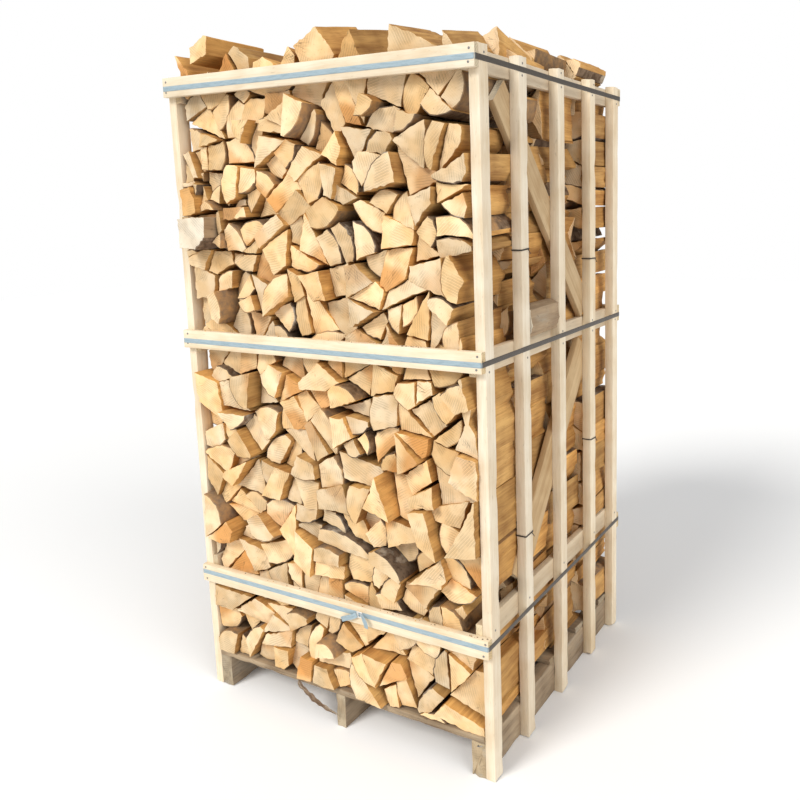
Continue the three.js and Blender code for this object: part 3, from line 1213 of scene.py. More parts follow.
@dataclass
class Packing:
    """Divides a stack's face into close-fitting log sections, as split rounds would fill it."""

    low: Array
    high: Array
    round_size: float = 0.205
    smallest: float = 0.0066
    largest: float = 0.0102

    def sites(self, rng: Rng) -> Array:
        """Returns the middles of the rounds that the sections are split from.

        Args:
            rng: Random numbers.

        Returns:
            Points on a loose grid.
        """
        span = self.high - self.low
        columns = max(1, round(span[0] / self.round_size))
        rows = max(1, round(span[1] / (self.round_size * 0.92)))
        grid = []
        for r in range(-1, rows + 1):
            for c in range(-1, columns + 2):
                spot = np.array([c + 0.5 * (r % 2), r + 0.5]) + rng.uniform(-0.36, 0.36, 2)
                grid.append(self.low + spot * span / (columns, rows))
        return np.array(grid)

    def rounds(self, rng: Rng) -> list[Array]:
        """Returns each site's own region of the face.

        Args:
            rng: Random numbers.

        Returns:
            Convex polygons that fill the face.
        """
        sites = self.sites(rng)
        whole = np.array([self.low, (self.high[0], self.low[1]), self.high, (self.low[0], self.high[1])])
        regions = []
        for site in sites:
            region = whole
            for j in np.argsort(np.linalg.norm(sites - site, axis=1))[1:16]:
                across = sites[j] - site
                region = keep_side(region, (site + sites[j]) / 2, across)
                if len(region) < 3:
                    break
            if len(region) >= 3 and abs(area_of(region)) > 1e-5:
                regions.append(region)
        return regions

    def halve(self, polygon: Array, rng: Rng) -> list[Array]:
        """Splits a polygon in two, through a corner about half the time, as an axe would.

        Args:
            polygon: The polygon.
            rng: Random numbers.

        Returns:
            Two parts, or the polygon itself if no good cut was found.
        """
        best, score = [polygon], 0.0
        centre = polygon.mean(0)
        spread = np.cov((polygon - centre).T)
        long_way = np.linalg.eigh(spread)[1][:, 1]
        for _ in range(12):
            kind = rng.uniform()
            if kind < 0.8:
                corner = rng.integers(len(polygon))
                start = polygon[corner]
                through = centre + rng.normal(0, 0.012, 2)
                if kind < 0.5 and len(polygon) > 3:
                    through = polygon[(corner + rng.integers(2, len(polygon) - 1)) % len(polygon)]
                way = through - start
                normal = np.array([-way[1], way[0]])
            else:
                lean = rng.normal(0, 0.5)
                turned = np.array([[math.cos(lean), -math.sin(lean)], [math.sin(lean), math.cos(lean)]])
                normal = long_way @ turned
                start = centre + long_way * rng.normal(0, 0.014)
            parts = [tidy(keep_side(polygon, start, n)) for n in (normal, -normal)]
            if min(len(p) for p in parts) < 3:
                continue
            corners = max(len(p) for p in parts)
            worth = min(thinness(p) for p in parts) * rng.uniform(0.75, 1.0) * (1.0 - 0.07 * corners)
            if worth > score:
                best, score = parts, worth
        return best if score > 0.0075 else [polygon]

    def cells(self, rng: Rng) -> list[Array]:
        """Returns all the log sections as convex polygons.

        Args:
            rng: Random numbers.

        Returns:
            Polygons, each with its corners anticlockwise.
        """
        todo, done = self.rounds(rng), []
        while todo:
            piece = todo.pop()
            limit = rng.uniform(self.smallest, self.largest)
            parts = self.halve(piece, rng) if abs(area_of(piece)) > limit else [piece]
            if len(parts) == 1:
                done.append(parts[0] if area_of(parts[0]) > 0 else parts[0][::-1])
            else:
                todo += parts
        return [cell for cell in done if area_of(cell) > 0.0009]


def clear_of(cell: Array, obstacle: Array) -> list[Array]:
    """Cuts a cell into the parts that lie outside a convex obstacle.

    Args:
        cell: The cell.
        obstacle: The obstacle, anticlockwise.

    Returns:
        The parts, none of them a sliver.
    """
    parts, rest = [], cell
    for a, b in zip(obstacle, np.roll(obstacle, -1, axis=0)):
        outward = np.array([(b - a)[1], -(b - a)[0]])
        parts.append(tidy(keep_side(rest, a, -outward)))
        rest = keep_side(rest, a, outward)
        if len(rest) < 3:
            break
    return [part for part in parts if len(part) >= 3 and thinness(part) > 0.006]


@dataclass
class Carver:
    """Turns a plain polygon into a split log's section, with bowed, uneven faces."""

    gap: float = 0.0013
    step: float = 0.012
    bark_share: float = 0.6
    unevenness: float = 0.0012
    bow: float = 0.0026
    worn: float = 0.0005
    deepest_bark: float = 0.023

    def shrink(self, polygon: Array) -> Array:
        """Moves every edge inwards by the gap.

        Args:
            polygon: Corners anticlockwise.

        Returns:
            The smaller polygon.
        """
        smaller = polygon
        for a, b in zip(polygon, np.roll(polygon, -1, axis=0)):
            _, outward = edge_ways(a, b)
            smaller = keep_side(smaller, a - outward * self.gap, outward)
            if len(smaller) < 3:
                return polygon
        return tidy(smaller, 0.003)

    def carve(self, polygon: Array, rng: Rng, round_edge: int | None = None) -> Section:
        """Makes one section.

        Args:
            polygon: Corners anticlockwise.
            rng: Random numbers.
            round_edge: The edge that is the log's outer, barked side, or None to leave it to chance.

        Returns:
            The section.
        """
        shape = self.shrink(polygon)
        lengths = np.linalg.norm(np.roll(shape, -1, axis=0) - shape, axis=1)
        arc = -1
        if round_edge is not None:
            arc = round_edge % len(shape)
        elif rng.uniform() < self.bark_share:
            arc = int(rng.choice(np.argsort(lengths)[-2:]))
        sagitta = 0.0
        if arc >= 0:
            radius = rng.uniform(0.078, 0.11)
            sagitta = min(1.1 * lengths[arc] ** 2 / (8 * radius), self.deepest_bark)
            shape = self.pull_in(shape, arc, sagitta)
            lengths = np.linalg.norm(np.roll(shape, -1, axis=0) - shape, axis=1)
        points, bark = [], []
        for i, (a, b) in enumerate(zip(shape, np.roll(shape, -1, axis=0))):
            count = max(2, round(lengths[i] / self.step))
            way, outward = edge_ways(a, b)
            share = np.arange(count) / count
            share[0] = min(0.0016 / max(lengths[i], 1e-6), 0.2)
            belly = 4 * share * (1 - share)
            swell = sagitta if i == arc else rng.normal(-0.15, 0.6) * self.bow
            rough = rng.normal(0, self.unevenness, count) * (belly > 0.12)
            line = a + np.outer(share * lengths[i], way) + np.outer(belly * swell + rough, outward)
            points.append(a - self.ease(shape, i))
            bark.append(i == arc)
            points += list(line)
            bark += [i == arc] * count
        outline = np.array(points)
        return Section(outline, np.array(bark), self.pith_of(shape, arc, rng))

    def ease(self, shape: Array, i: int) -> Array:
        """Returns how far corner i is worn back, towards the middle of the section."""
        out = shape[i] - shape.mean(0)
        return out / max(np.linalg.norm(out), 1e-9) * self.worn

    def pull_in(self, shape: Array, arc: int, depth: float) -> Array:
        """Cuts back the arc's edge, so that the arc's top just reaches where it was.

        Args:
            shape: The polygon.
            arc: The arc's edge.
            depth: How far the ends of the arc move in.

        Returns:
            The polygon whose edge `arc` has moved in.
        """
        a, b = shape[arc], shape[(arc + 1) % len(shape)]
        _, outward = edge_ways(a, b)
        moved = shape.copy()
        for here, other in ((arc, arc - 1), ((arc + 1) % len(shape), (arc + 2) % len(shape))):
            side = shape[other] - shape[here]
            fall = -side @ outward
            moved[here] = shape[here] + side * min(0.45, depth / max(fall, 1e-6))
        return moved

    def pith_of(self, shape: Array, arc: int, rng: Rng) -> Array:
        """Returns where the tree's pith lay: opposite the bark, or off one corner.

        Args:
            shape: The polygon.
            arc: The barked edge, or -1.
            rng: Random numbers.

        Returns:
            The pith's place.
        """
        if arc >= 0:
            a, b = shape[arc], shape[(arc + 1) % len(shape)]
            _, outward = edge_ways(a, b)
            return (a + b) / 2 - outward * rng.uniform(0.085, 0.12)
        corner = shape[rng.integers(len(shape))]
        return corner + (corner - shape.mean(0)) * rng.uniform(-0.1, 0.5)


@dataclass
class LogForm:
    """How finely logs are made and how unevenly they lie."""

    stations: int = 7
    tilt: float = 0.1
    skew: float = 0.02
    roughness: float = 0.0008
    bevel: float = 0.001
    bark_depth: float = 0.0032
    taper: float = 1.0


def log_into(stock: Stock, section: Section, length: float, place: Array, form: LogForm,
             rng: Rng, tone: float | None = None, lowest: float = 0.0) -> None:
    """Adds one log to a stock: finish 0 for cut ends, 1 for split faces and 2 for bark.

    Args:
        stock: Where the faces go.
        section: The log's section in its own X and Z.
        length: Its length.
        place: 4 by 4 matrix from the log's own frame, with its length along Y, to the crate's.
        form: How finely it is made.
        rng: Random numbers.
        tone: The log's own number, or None for a random one.
        lowest: No point of the log lies lower than this.
    """
    outline, size = section.outline, len(section.outline)
    tone = rng.uniform() if tone is None else tone
    middle = outline.mean(0)
    around = np.concatenate([[0], np.cumsum(np.linalg.norm(np.diff(outline, axis=0), axis=1))])
    outward = outline - middle
    outward /= np.maximum(np.linalg.norm(outward, axis=1), 1e-6)[:, None]
    torn = ripple(rng, 7, 6.0, 60.0)
    drift = ripple(rng, 3, 1.0, 4.0)
    y = np.linspace(0, length, form.stations)
    y[0], y[-1] = form.bevel, length - form.bevel
    skew = rng.normal(0, form.skew, 2)
    barked = section.bark | np.roll(section.bark, 1)
    depth = np.where(barked, form.roughness * 1.3, form.roughness)
    body = []
    for at in y:
        push = depth * torn(around, at * 0.3) + 2.0 * form.roughness * drift(around * 0.3, at)
        width = 1.0 + (form.taper - 1.0) * at / length
        root = np.array([middle[0], outline[:, 1].min()])
        body.append(root + (outline + outward * push[:, None] - root) * width + skew * (at - length / 2))
    body = np.array(body)
    deep = np.where(barked, form.bark_depth, form.bevel)
    lean = rng.normal(0, form.tilt, (2, 2))
    scuff = ripple(rng, 5, 25.0, 90.0)
    rings, heights = [], []
    for end, (at, sign) in enumerate(((0.0, -1.0), (length, 1.0))):
        edge = body[0] if end == 0 else body[-1]
        rim = edge - outward * deep[:, None]
        inner = edge.mean(0) + (rim - edge.mean(0)) * 0.52
        for ring, fade in ((edge, 0.0), (rim, 1.0), (inner, 1.0)):
            slope = (ring - edge.mean(0)) @ lean[end]
            base = at - sign * form.bevel * (1 - fade)
            rings.append(ring)
            heights.append(base + slope + 0.0004 * fade * scuff(ring[:, 0], ring[:, 1]))
    ends = list(zip(rings, heights))
    stack = ends[2::-1] + [(body[k], np.full(size, y[k])) for k in range(1, form.stations - 1)] + ends[3:]
    local = np.array([np.column_stack([r[:, 0], h, r[:, 1]]) for r, h in stack])
    timber = local - (section.pith[0], 0.0, section.pith[1])
    world = local.reshape(-1, 3) @ place[:3, :3].T + place[:3, 3]
    world[:, 2] = np.maximum(world[:, 2], lowest)
    first = stock.put(world, timber, tone)
    i = np.arange(size)
    j = (i + 1) % size
    count = len(stack)
    sides, rim = np.where(section.bark, 2, 1), np.where(section.bark, 2, 0)
    slots = {0: 0, 1: rim, count - 3: rim, count - 2: 0}
    for k in range(count - 1):
        a = first + k * size
        quads = np.stack([a + size + i, a + size + j, a + j, a + i], 1)
        stock.skin(quads, slots.get(k, sides))
    for end in (0, 1):
        heart = rings[2 + 3 * end].mean(0)
        spot = np.array([heart[0], length * end, heart[1]])
        from_pith = spot - (section.pith[0], 0, section.pith[1])
        centre = stock.put(spot @ place[:3, :3].T + place[:3, 3], from_pith, tone)
        stock.fan(first + end * (count - 1) * size + i, centre, 0, end == 1)


def shift(x: float, y: float, z: float) -> Array:
    """Returns a 4 by 4 matrix that only moves."""
    matrix = np.eye(4)
    matrix[:3, 3] = (x, y, z)
    return matrix


@dataclass(frozen=True)
class CrownLog:
    """A small log on a row's top: its section, with heights above the top's base, and where it starts."""

    outline: tuple[tuple[float, float], ...]
    back: float = 0.0
    length: float = 0.22
    taper: float = 0.8


CROWNS: dict[int, tuple[CrownLog, ...]] = {
    1: (
        CrownLog(((-0.452, 0.0), (-0.352, 0.0), (-0.362, 0.04), (-0.405, 0.062), (-0.44, 0.03)), 0.03),
        CrownLog(((-0.205, 0.0), (-0.1, 0.0), (-0.112, 0.047), (-0.152, 0.072), (-0.19, 0.06))),
        CrownLog(((-0.118, 0.0), (-0.05, 0.0), (-0.052, 0.062), (-0.076, 0.092), (-0.105, 0.05)), 0.02),
        CrownLog(((-0.262, 0.0), (-0.2, 0.0), (-0.215, 0.05), (-0.24, 0.066)), 0.01),
    ),
    2: (
        CrownLog(
            ((-0.3, 0.06), (-0.205, 0.06), (-0.228, 0.125), (-0.252, 0.136), (-0.281, 0.155)), 0.01, 0.2, 0.6
        ),
        CrownLog(((0.43, 0.0), (0.505, 0.0), (0.503, 0.05), (0.476, 0.068), (0.445, 0.061)), 0.05, 0.19),
    ),
    3: (
        CrownLog(
            ((0.345, 0.04), (0.462, 0.04), (0.452, 0.075), (0.4, 0.122), (0.376, 0.144), (0.362, 0.12)),
            0.0, 0.23, 0.45,
        ),
    ),
    4: (
        CrownLog(
            ((0.39, -0.075), (0.488, -0.078), (0.492, -0.02), (0.44, 0.012), (0.385, -0.03)), 0.0, 0.262, 1.0
        ),
        CrownLog(((0.3, -0.05), (0.385, -0.06), (0.378, -0.01), (0.33, 0.02)), 0.0, 0.25, 1.0),
    ),
}


# Logs that were moved and now fill holes in a row: the row's other logs keep clear of them.
HOLES = {1: ("pulled_log_weathered", "pulled_log_wedge"), 4: ("pulled_log_back",)}


@dataclass
class LogRow:
    """One row of stacked logs, cut ends to the front and back.

    Log ends stand proud by a normal spread, cut off at most_proud. Logs at the stack's side lie in by up to
    side_play, or out by side_room between the rails, and a share of them are slanted by up to slant. Logs may
    overshoot the row's outline at the top. In the last row those at the side are longer by side_reach.
    """

    number: int
    form: LogForm
    packing_seed: int
    pitch: float = 0.25
    log_length: float = 0.246
    top_base: float = 0.03
    proud: float = 0.016
    most_proud: float = 0.03
    side_play: float = 0.012
    side_room: float = 0.019
    slanted: float = 0.6
    slant: float = 0.04
    overshoot: float = 0.022
    side_reach: float = 0.012

    def node(self) -> str:
        """Returns the CAD node that this row stands for."""
        return f"log_row_{self.number}"

    def profile(self) -> Callable[[float], float]:
        """Returns the height of the CAD row's top at any place across it."""
        points = node_points(self.node())
        upper = points[points[:, 2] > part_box("rail_right_top")[0].z]
        xs = np.unique(upper[:, 0])
        tops = np.array([upper[np.isclose(upper[:, 0], x), 2].max() for x in xs])
        return lambda x: float(np.interp(x, xs, tops))

    def battens(self) -> list[tuple[float, float]]:
        """Returns the heights that each batten covers."""
        boxes = [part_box(f"batten_front_{belt}") for belt in BELTS]
        return [(low.z - 0.003, high.z + 0.003) for low, high in boxes]

    def build(self) -> None:
        """Builds the row as one piece."""
        rng = np.random.default_rng(self.packing_seed)
        low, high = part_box(self.node())
        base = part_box("rail_right_top")[0].z + self.top_base
        limit = base if self.number == 1 else high.z
        packing = Packing(np.array([low.x, low.z]), np.array([high.x, limit]))
        carver = Carver()
        stock = Stock((BIRCH_END, BIRCH_SPLIT, BIRCH_BARK))
        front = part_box("post_right_1")[0].y + (self.number - 1) * self.pitch
        battens, made = self.battens(), 0
        for cell in self.cells(packing, rng):
            beside = self.beside(cell, low, high)
            cell = tidy(cell, 0.006 if beside else 0.015)
            if len(cell) >= 3:
                cell = self.settle(cell, low, high, rng)
            if len(cell) < 3:
                continue
            cell = self.loosen(cell, low.x, high.x, rng)
            out = float(np.clip(rng.normal(0.001, self.proud), -self.most_proud, self.most_proud))
            covered = any(a < cell[:, 1].max() and b > cell[:, 1].min() for a, b in battens)
            if covered and self.number in (1, 4):
                out = -0.006 - 0.6 * abs(out)
            made += 1
            section = carver.carve(cell, rng)
            length = self.log_length + rng.normal(0, 0.002)
            start = front - out
            if self.number == 4:
                start = front + 0.002
                length += 0.5 * out if covered else 0.014 + abs(out) * 0.6
                if beside and not covered:
                    length += self.side_reach * (1.0 if self.between_rails(cell) else 2.6)
            log_into(stock, section, length, shift(0, start, 0), self.form, rng, lowest=low.z)
        for crown in CROWNS.get(self.number, ()):
            made += 1
            section = carver.carve(np.array(crown.outline), rng)
            form = replace(self.form, taper=crown.taper, tilt=0.04)
            log_into(stock, section, crown.length, shift(0, front + crown.back, base), form, rng)
        hand_over(stock.make(f"stacked_logs_{self.number}"), "birch", self.node())
        log.info("row %d: %d logs", self.number, made)

    def beside(self, cell: Array, low: Vector, high: Vector) -> bool:
        """Returns whether a cell touches the row's left or right side."""
        return min(np.abs(cell[:, 0] - low.x).min(), np.abs(cell[:, 0] - high.x).min()) < 0.01

    def cells(self, packing: Packing, rng: Rng) -> list[Array]:
        """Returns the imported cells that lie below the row's top, cut clear of the moved logs.

        Args:
            packing: How the row's face is divided.
            rng: Random numbers.

        Returns:
            The cells.
        """
        top = self.profile()
        cells = [c for c in packing.cells(rng) if c[:, 1].max() <= top(c[:, 0].mean()) + self.overshoot]
        for name in HOLES.get(self.number, ()):
            obstacle = LooseLog(name).section_in_crate()
            near = [np.linalg.norm(obstacle.mean(0) - c.mean(0)) < 0.2 for c in cells]
            parts = [clear_of(c, obstacle) if close else [c] for c, close in zip(cells, near)]
            cells = [part for group in parts for part in group]
        return cells

    def settle(self, cell: Array, low: Vector, high: Vector, rng: Rng) -> Array:
        """Turns and shrinks a cell a little about its middle, as logs never quite fit each other.

        Args:
            cell: The cell.
            low: The row's lower corner.
            high: Its upper corner.
            rng: Random numbers.

        Returns:
            The cell, still inside the row.
        """
        middle = cell.mean(0)
        turn, size = rng.normal(0, 0.05), rng.uniform(0.94, 1.01)
        if self.beside(cell, low, high):
            turn, size = 0.4 * turn, max(size, 1.0)
        spin = np.array([[math.cos(turn), -math.sin(turn)], [math.sin(turn), math.cos(turn)]]) * size
        moved = middle + (cell - middle) @ spin
        for point, outward in (((low.x, 0), (-1, 0)), ((high.x, 0), (1, 0)), ((0, low.z), (0, -1))):
            moved = keep_side(moved, np.array(point), np.array(outward))
        return tidy(moved, 0.004)

    def loosen(self, cell: Array, left: float, right: float, rng: Rng) -> Array:
        """Moves a cell's corners at the stack's side in or out, so that the side isn't flush.

        Args:
            cell: The cell.
            left: The stack's left side.
            right: Its right side.
            rng: Random numbers.

        Returns:
            The cell, moved or as it was.
        """
        room = self.side_room if self.number in (1, 4) and self.between_rails(cell) else 0.0
        moved = cell.copy()
        for edge, sign in ((left, 1.0), (right, -1.0)):
            touching = np.abs(moved[:, 0] - edge) < 0.012
            inwards = 0.15 * self.side_play if room else self.side_play
            moved[touching, 0] = edge + sign * (rng.uniform(0.0, inwards, touching.sum()) - room)
            if touching.sum() > 1 and rng.uniform() < self.slanted:
                slanted = rng.choice(np.flatnonzero(touching))
                most = self.slant if sign < 0 else 0.1 * self.slant
                moved[slanted, 0] += sign * rng.uniform(0.3, 1.0) * most
        return moved

    def between_rails(self, cell: Array) -> bool:
        """Returns whether a cell is clear of the side rails and of the braces' ends."""
        taken = []
        for belt in BELTS:
            low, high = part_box(f"rail_right_{belt}")
            above = 0.12 if belt == "middle" else 0.0
            below = 0.14 if (belt == "top") == (self.number == 1) else 0.0
            taken.append((low.z - below, high.z + above))
        return not any(a < cell[:, 1].max() and b > cell[:, 1].min() for a, b in taken)


class Wood(Enum):
    """How a loose log has aged: the finishes of its sawn ends, split faces and bark."""

    FRESH = (BIRCH_END, BIRCH_SPLIT, BIRCH_BARK)
    ORANGE = (ORANGE_END, BIRCH_SPLIT, BIRCH_BARK)
    WEATHERED = (OLD_END, OLD_SPLIT, BIRCH_BARK)


@dataclass
class LooseLog:
    """A log that lies by itself, shaped on the prism of its CAD node."""

    node: str
    round_edge: int | None = None
    tone: float | None = None
    wood: Wood = Wood.FRESH
    taper: float = 1.0

    def frame_of(self) -> tuple[Array, Array, float]:
        """Reads the prism: its outline, its place and its length.

        Returns:
            The outline in the log's own X and Z, a 4 by 4 matrix to the crate's frame, the length.
        """
        points = node_points(self.node)
        start = points[np.argmin(points[:, 1])]
        for other in points:
            way = other - start
            reach = np.linalg.norm(way)
            if reach < 0.15 or abs(way[1]) < 0.9 * reach:
                continue
            gaps = np.linalg.norm((points + way)[:, None] - points[None], axis=-1).min(1)
            front = points[gaps < 2e-4]
            if len(front) * 2 == len(points):
                break
        along = way / reach
        across = np.cross(along, (0, 0, 1.0))
        across /= np.linalg.norm(across)
        up = np.cross(across, along)
        place = np.eye(4)
        place[:3, 0], place[:3, 1], place[:3, 2] = across, along, up
        place[:3, 3] = front.mean(0)
        flat = (front - front.mean(0)) @ np.column_stack([across, up])
        order = np.argsort(np.arctan2(flat[:, 1], flat[:, 0]))
        return flat[order], place, float(reach)

    def section_in_crate(self) -> Array:
        """Returns the outline in the crate's X and Z, anticlockwise."""
        outline, place, _ = self.frame_of()
        return outline + (place[0, 3], place[2, 3])

    def build(self) -> None:
        """Builds the log as one piece."""
        rng = np.random.default_rng(sum(map(ord, self.node)))
        outline, place, length = self.frame_of()
        stock = Stock(self.wood.value)
        carver = Carver(gap=0.0004, step=0.009, bark_share=0.0)
        section = carver.carve(outline, rng, self.round_edge)
        form = LogForm(stations=9, tilt=0.03, skew=0.006, taper=self.taper)
        log_into(stock, section, length, place, form, rng, self.tone)
        slot = "weathered" if self.wood is Wood.WEATHERED else "birch"
        hand_over(stock.make(self.node + "_wood"), slot, self.node)


LOOSE_LOGS = (
    LooseLog("pulled_log_weathered", round_edge=1, tone=0.21, wood=Wood.WEATHERED),
    LooseLog("pulled_log_wedge", tone=0.92, wood=Wood.ORANGE),
    LooseLog("pulled_log_back", tone=0.4),
    LooseLog("bulging_log_right", tone=0.55, wood=Wood.WEATHERED),
    LooseLog("heap_log_corner", tone=0.13),
    LooseLog("heap_log_high", tone=0.71),
    LooseLog("heap_log_orange", tone=0.955, wood=Wood.ORANGE),
    LooseLog("heap_log_split", tone=0.22),
    LooseLog("heap_log_wide", tone=0.64),
    LooseLog("heap_log_thin", tone=0.97, wood=Wood.ORANGE),
    LooseLog("heap_log_pale", tone=0.02, taper=0.85),
    LooseLog("heap_log_narrow", tone=0.9),
    LooseLog("heap_log_peak", tone=0.35, taper=0.5),
    LooseLog("heap_log_back", tone=0.48),
    LooseLog("heap_log_bark", round_edge=0, tone=0.8),
)


# ---- Straps, buckles, wires and nails ----


@dataclass
class Strap:
    """One tensioned strap round the crate, following the tilt of its battens."""

    belt: str
    width: float = 0.0145
    thickness: float = 0.0009
    corner: float = 0.005

    def height_at(self, x: float) -> float:
        """Returns the strap's middle height at a place across the crate."""
        batten = Board.from_node(f"batten_front_{self.belt}")
        slope = batten.length[2] / batten.length[0]
        low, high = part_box(f"strap_{self.belt}")
        return (low.z + high.z) / 2 + slope * x

    def route(self) -> tuple[Array, Array, Array]:
        """Returns the path round the crate, its outward normals, and 1 where it runs along a side, 0 where
        the painted sheen goes.

        Returns:
            Points, normals and sheen marks: 0 where the painted sheen goes, 1 along the sides.
        """
        low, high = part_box(f"strap_{self.belt}")
        half = np.array([(high.x - low.x) / 2 - self.thickness, (high.y - low.y) / 2 - self.thickness])
        points, normals, painted_sheen_off = [], [], []
        for quarter in range(4):
            heading = -math.pi / 2 + quarter * math.pi / 2
            out = np.array([math.cos(heading), math.sin(heading)])
            along = np.array([-out[1], out[0]])
            reach = abs(half @ np.abs(out))
            run = abs(half @ np.abs(along)) - self.corner
            for share in np.linspace(-1, 1, 46):
                points.append(out * reach + along * run * share)
                normals.append(out)
                painted_sheen_off.append(float(quarter % 2))
            for turn in (0.25, 0.5, 0.75):
                angle = heading + turn * math.pi / 2
                away = np.array([math.cos(angle), math.sin(angle)])
                points.append(out * (reach - self.corner) + along * run + away * self.corner)
                normals.append(away)
                painted_sheen_off.append(turn if quarter % 2 == 0 else 1 - turn)
        return np.array(points), np.array(normals), np.array(painted_sheen_off)

    def build(self) -> None:
        """Builds the strap as one closed band with a slightly crowned face."""
        points, normals, painted_sheen_off = self.route()
        rng = np.random.default_rng(len(self.belt))
        sway = ripple(rng, 4, 0.4, 2.0)
        around = np.concatenate([[0], np.cumsum(np.linalg.norm(np.diff(points, axis=0), axis=1))])
        across = np.array([-0.5, -0.46, -0.25, 0.0, 0.25, 0.46, 0.5])
        crown = np.array([0.55, 0.95, 1.0, 1.0, 1.0, 0.95, 0.55])
        profile = [(a, 0.0) for a in across] + list(zip(across, crown))[::-1]
        stock = Stock((STRAP_WEAVE,))
        rings, timber = [], []
        for p, n, s in zip(points, normals, around):
            z = self.height_at(p[0]) + 0.0006 * float(sway(s, 0.0))
            ring = [(*(p + n * self.thickness * lift), z + self.width * a) for a, lift in profile]
            rings.append(ring)
            timber.append([(0.0, s, self.width * a) for a, _ in profile])
        size = len(profile)
        # The marks become the tone: 0 takes the painted pale sheen, 1 the strap's own dark colour.
        first = stock.put(np.array(rings), np.array(timber), np.repeat(painted_sheen_off, size))
        stock.loft((len(rings), size), first, looped=True)
        hand_over(stock.make(f"strap_{self.belt}_band"), "strap", f"strap_{self.belt}")


def wire_into(stock: Stock, path: Sequence[Vector], radius: float, closed: bool, sides: int = 8) -> None:
    """Adds a round wire along a path.

    Args:
        stock: Where the faces go.
        path: Points along the wire's middle.
        radius: The wire's radius.
        closed: Whether the path returns to its start.
        sides: Points round the wire.
    """
    points = [Vector(p) for p in path]
    count = len(points)
    rings, timber, travelled = [], [], 0.0
    across = None
    for i, p in enumerate(points):
        before = points[i - 1] if closed or i else p
        after = points[(i + 1) % count] if closed or i < count - 1 else p
        along = (after - before).normalized()
        if across is None:
            across = along.orthogonal()
        across = (across - along * across.dot(along)).normalized()
        other = along.cross(across)
        travelled += (p - points[i - 1]).length if i else 0.0
        angles = [math.tau * k / sides for k in range(sides)]
        rings.append([p + radius * (math.cos(a) * across + math.sin(a) * other) for a in angles])
        timber.append([(radius * math.cos(a), travelled, radius * math.sin(a)) for a in angles])
    if closed:
        first = stock.put(np.array(rings), np.array(timber), 0.5)
        stock.loft((count, sides), first, looped=True)
    else:
        stock.tube(rings, timber, 0.5)


def rounded_loop(half_x: float, half_z: float, corner: float, steps: int = 5) -> list[tuple[float, float]]:
    """Returns points round a rectangle with round corners, in X and Z.

    Args:
        half_x: Half the width.
        half_z: Half the height.
        corner: The corners' radius.
        steps: Points in each corner.

    Returns:
        The points, anticlockwise.
    """
    loop = []
    for quarter, (sx, sz) in enumerate(((1, 1), (-1, 1), (-1, -1), (1, -1))):
        for k in range(steps):
            angle = math.pi / 2 * (quarter + k / (steps - 1))
            loop.append((
                sx * (half_x - corner) + corner * math.cos(angle),
                sz * (half_z - corner) + corner * math.sin(angle),
            ))
    return loop


@dataclass
class Buckle:
    """A bent wire buckle on a strap: a frame with two bars that the strap is wound round."""

    belt: str
    wire: float = 0.0018
    bar_place: float = 0.0052

    def build(self) -> None:
        """Builds the buckle as one piece."""
        low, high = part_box(f"strap_buckle_{self.belt}")
        middle = (Vector(low) + Vector(high)) / 2
        half_x, half_z = (high.x - low.x) / 2 - self.wire, (high.z - low.z) / 2 - self.wire
        stock = Stock((BUCKLE_WIRE,))
        frame_path = [middle + Vector((x, 0, z)) for x, z in rounded_loop(half_x, half_z, 0.003)]
        wire_into(stock, frame_path, self.wire, True)
        for x in (-self.bar_place, self.bar_place):
            bar = [middle + Vector((x, 0.0, z)) for z in np.linspace(-half_z, half_z, 6)]
            wire_into(stock, bar, self.wire * 0.9, False)
        hand_over(stock.make(f"buckle_{self.belt}_wire", 60), "wire", f"strap_buckle_{self.belt}")


@dataclass
class StrapTail:
    """A loose end of the lower strap, beside its buckle."""

    name: str
    route: Sequence[tuple[float, float, float]]
    width: float = 0.0135
    thickness: float = 0.0009

    def build(self) -> None:
        """Builds the tail as a thin ribbon. The route is from the buckle's middle: right, out, up."""
        low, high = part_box("strap_buckle_lower")
        origin = Vector(((low.x + high.x) / 2, low.y, (low.z + high.z) / 2))
        knots = [origin + Vector((x, -out, z)) for x, out, z in self.route]
        path = []
        for a, b, c, d in zip([knots[0], *knots], knots, knots[1:], [*knots[2:], knots[-1]]):
            for t in np.linspace(0, 1, 7)[:-1]:
                path.append(0.5 * (2 * b + (c - a) * t + (2 * a - 5 * b + 4 * c - d) * t**2
                                   + (3 * b - a - 3 * c + d) * t**3))
        path.append(knots[-1])
        stock = Stock((STRAP_WEAVE,))
        front = Vector((0, -1, 0))
        profile = ((-0.5, 0.0), (0.5, 0.0), (0.5, 1.0), (0.0, 1.15), (-0.5, 1.0))
        rings, timber, travelled = [], [], 0.0
        for i, p in enumerate(path):
            along = (path[min(i + 1, len(path) - 1)] - path[max(i - 1, 0)]).normalized()
            out = (front - along * front.dot(along)).normalized()
            up = out.cross(along)
            travelled += (p - path[i - 1]).length if i else 0.0
            rings.append([p + up * self.width * a + out * self.thickness * b for a, b in profile])
            timber.append([(0.0, travelled, self.width * a) for a, _ in profile])
        # Tone 0.05: the tail takes almost only the painted pale sheen.
        stock.tube(rings, timber, 0.05)
        hand_over(stock.make(self.name), "strap")


STRAP_TAILS = (
    StrapTail(
        "strap_tail_left",
        ((-0.009, 0.001, -0.001), (-0.022, 0.005, -0.008), (-0.042, 0.007, -0.016), (-0.064, 0.004, -0.027)),
        0.0155,
    ),
    StrapTail(
        "strap_tail_right",
        ((0.009, 0.002, 0.001), (0.018, 0.008, 0.002), (0.028, 0.013, -0.005), (0.033, 0.013, -0.016),
         (0.032, 0.01, -0.03)),
    ),
)


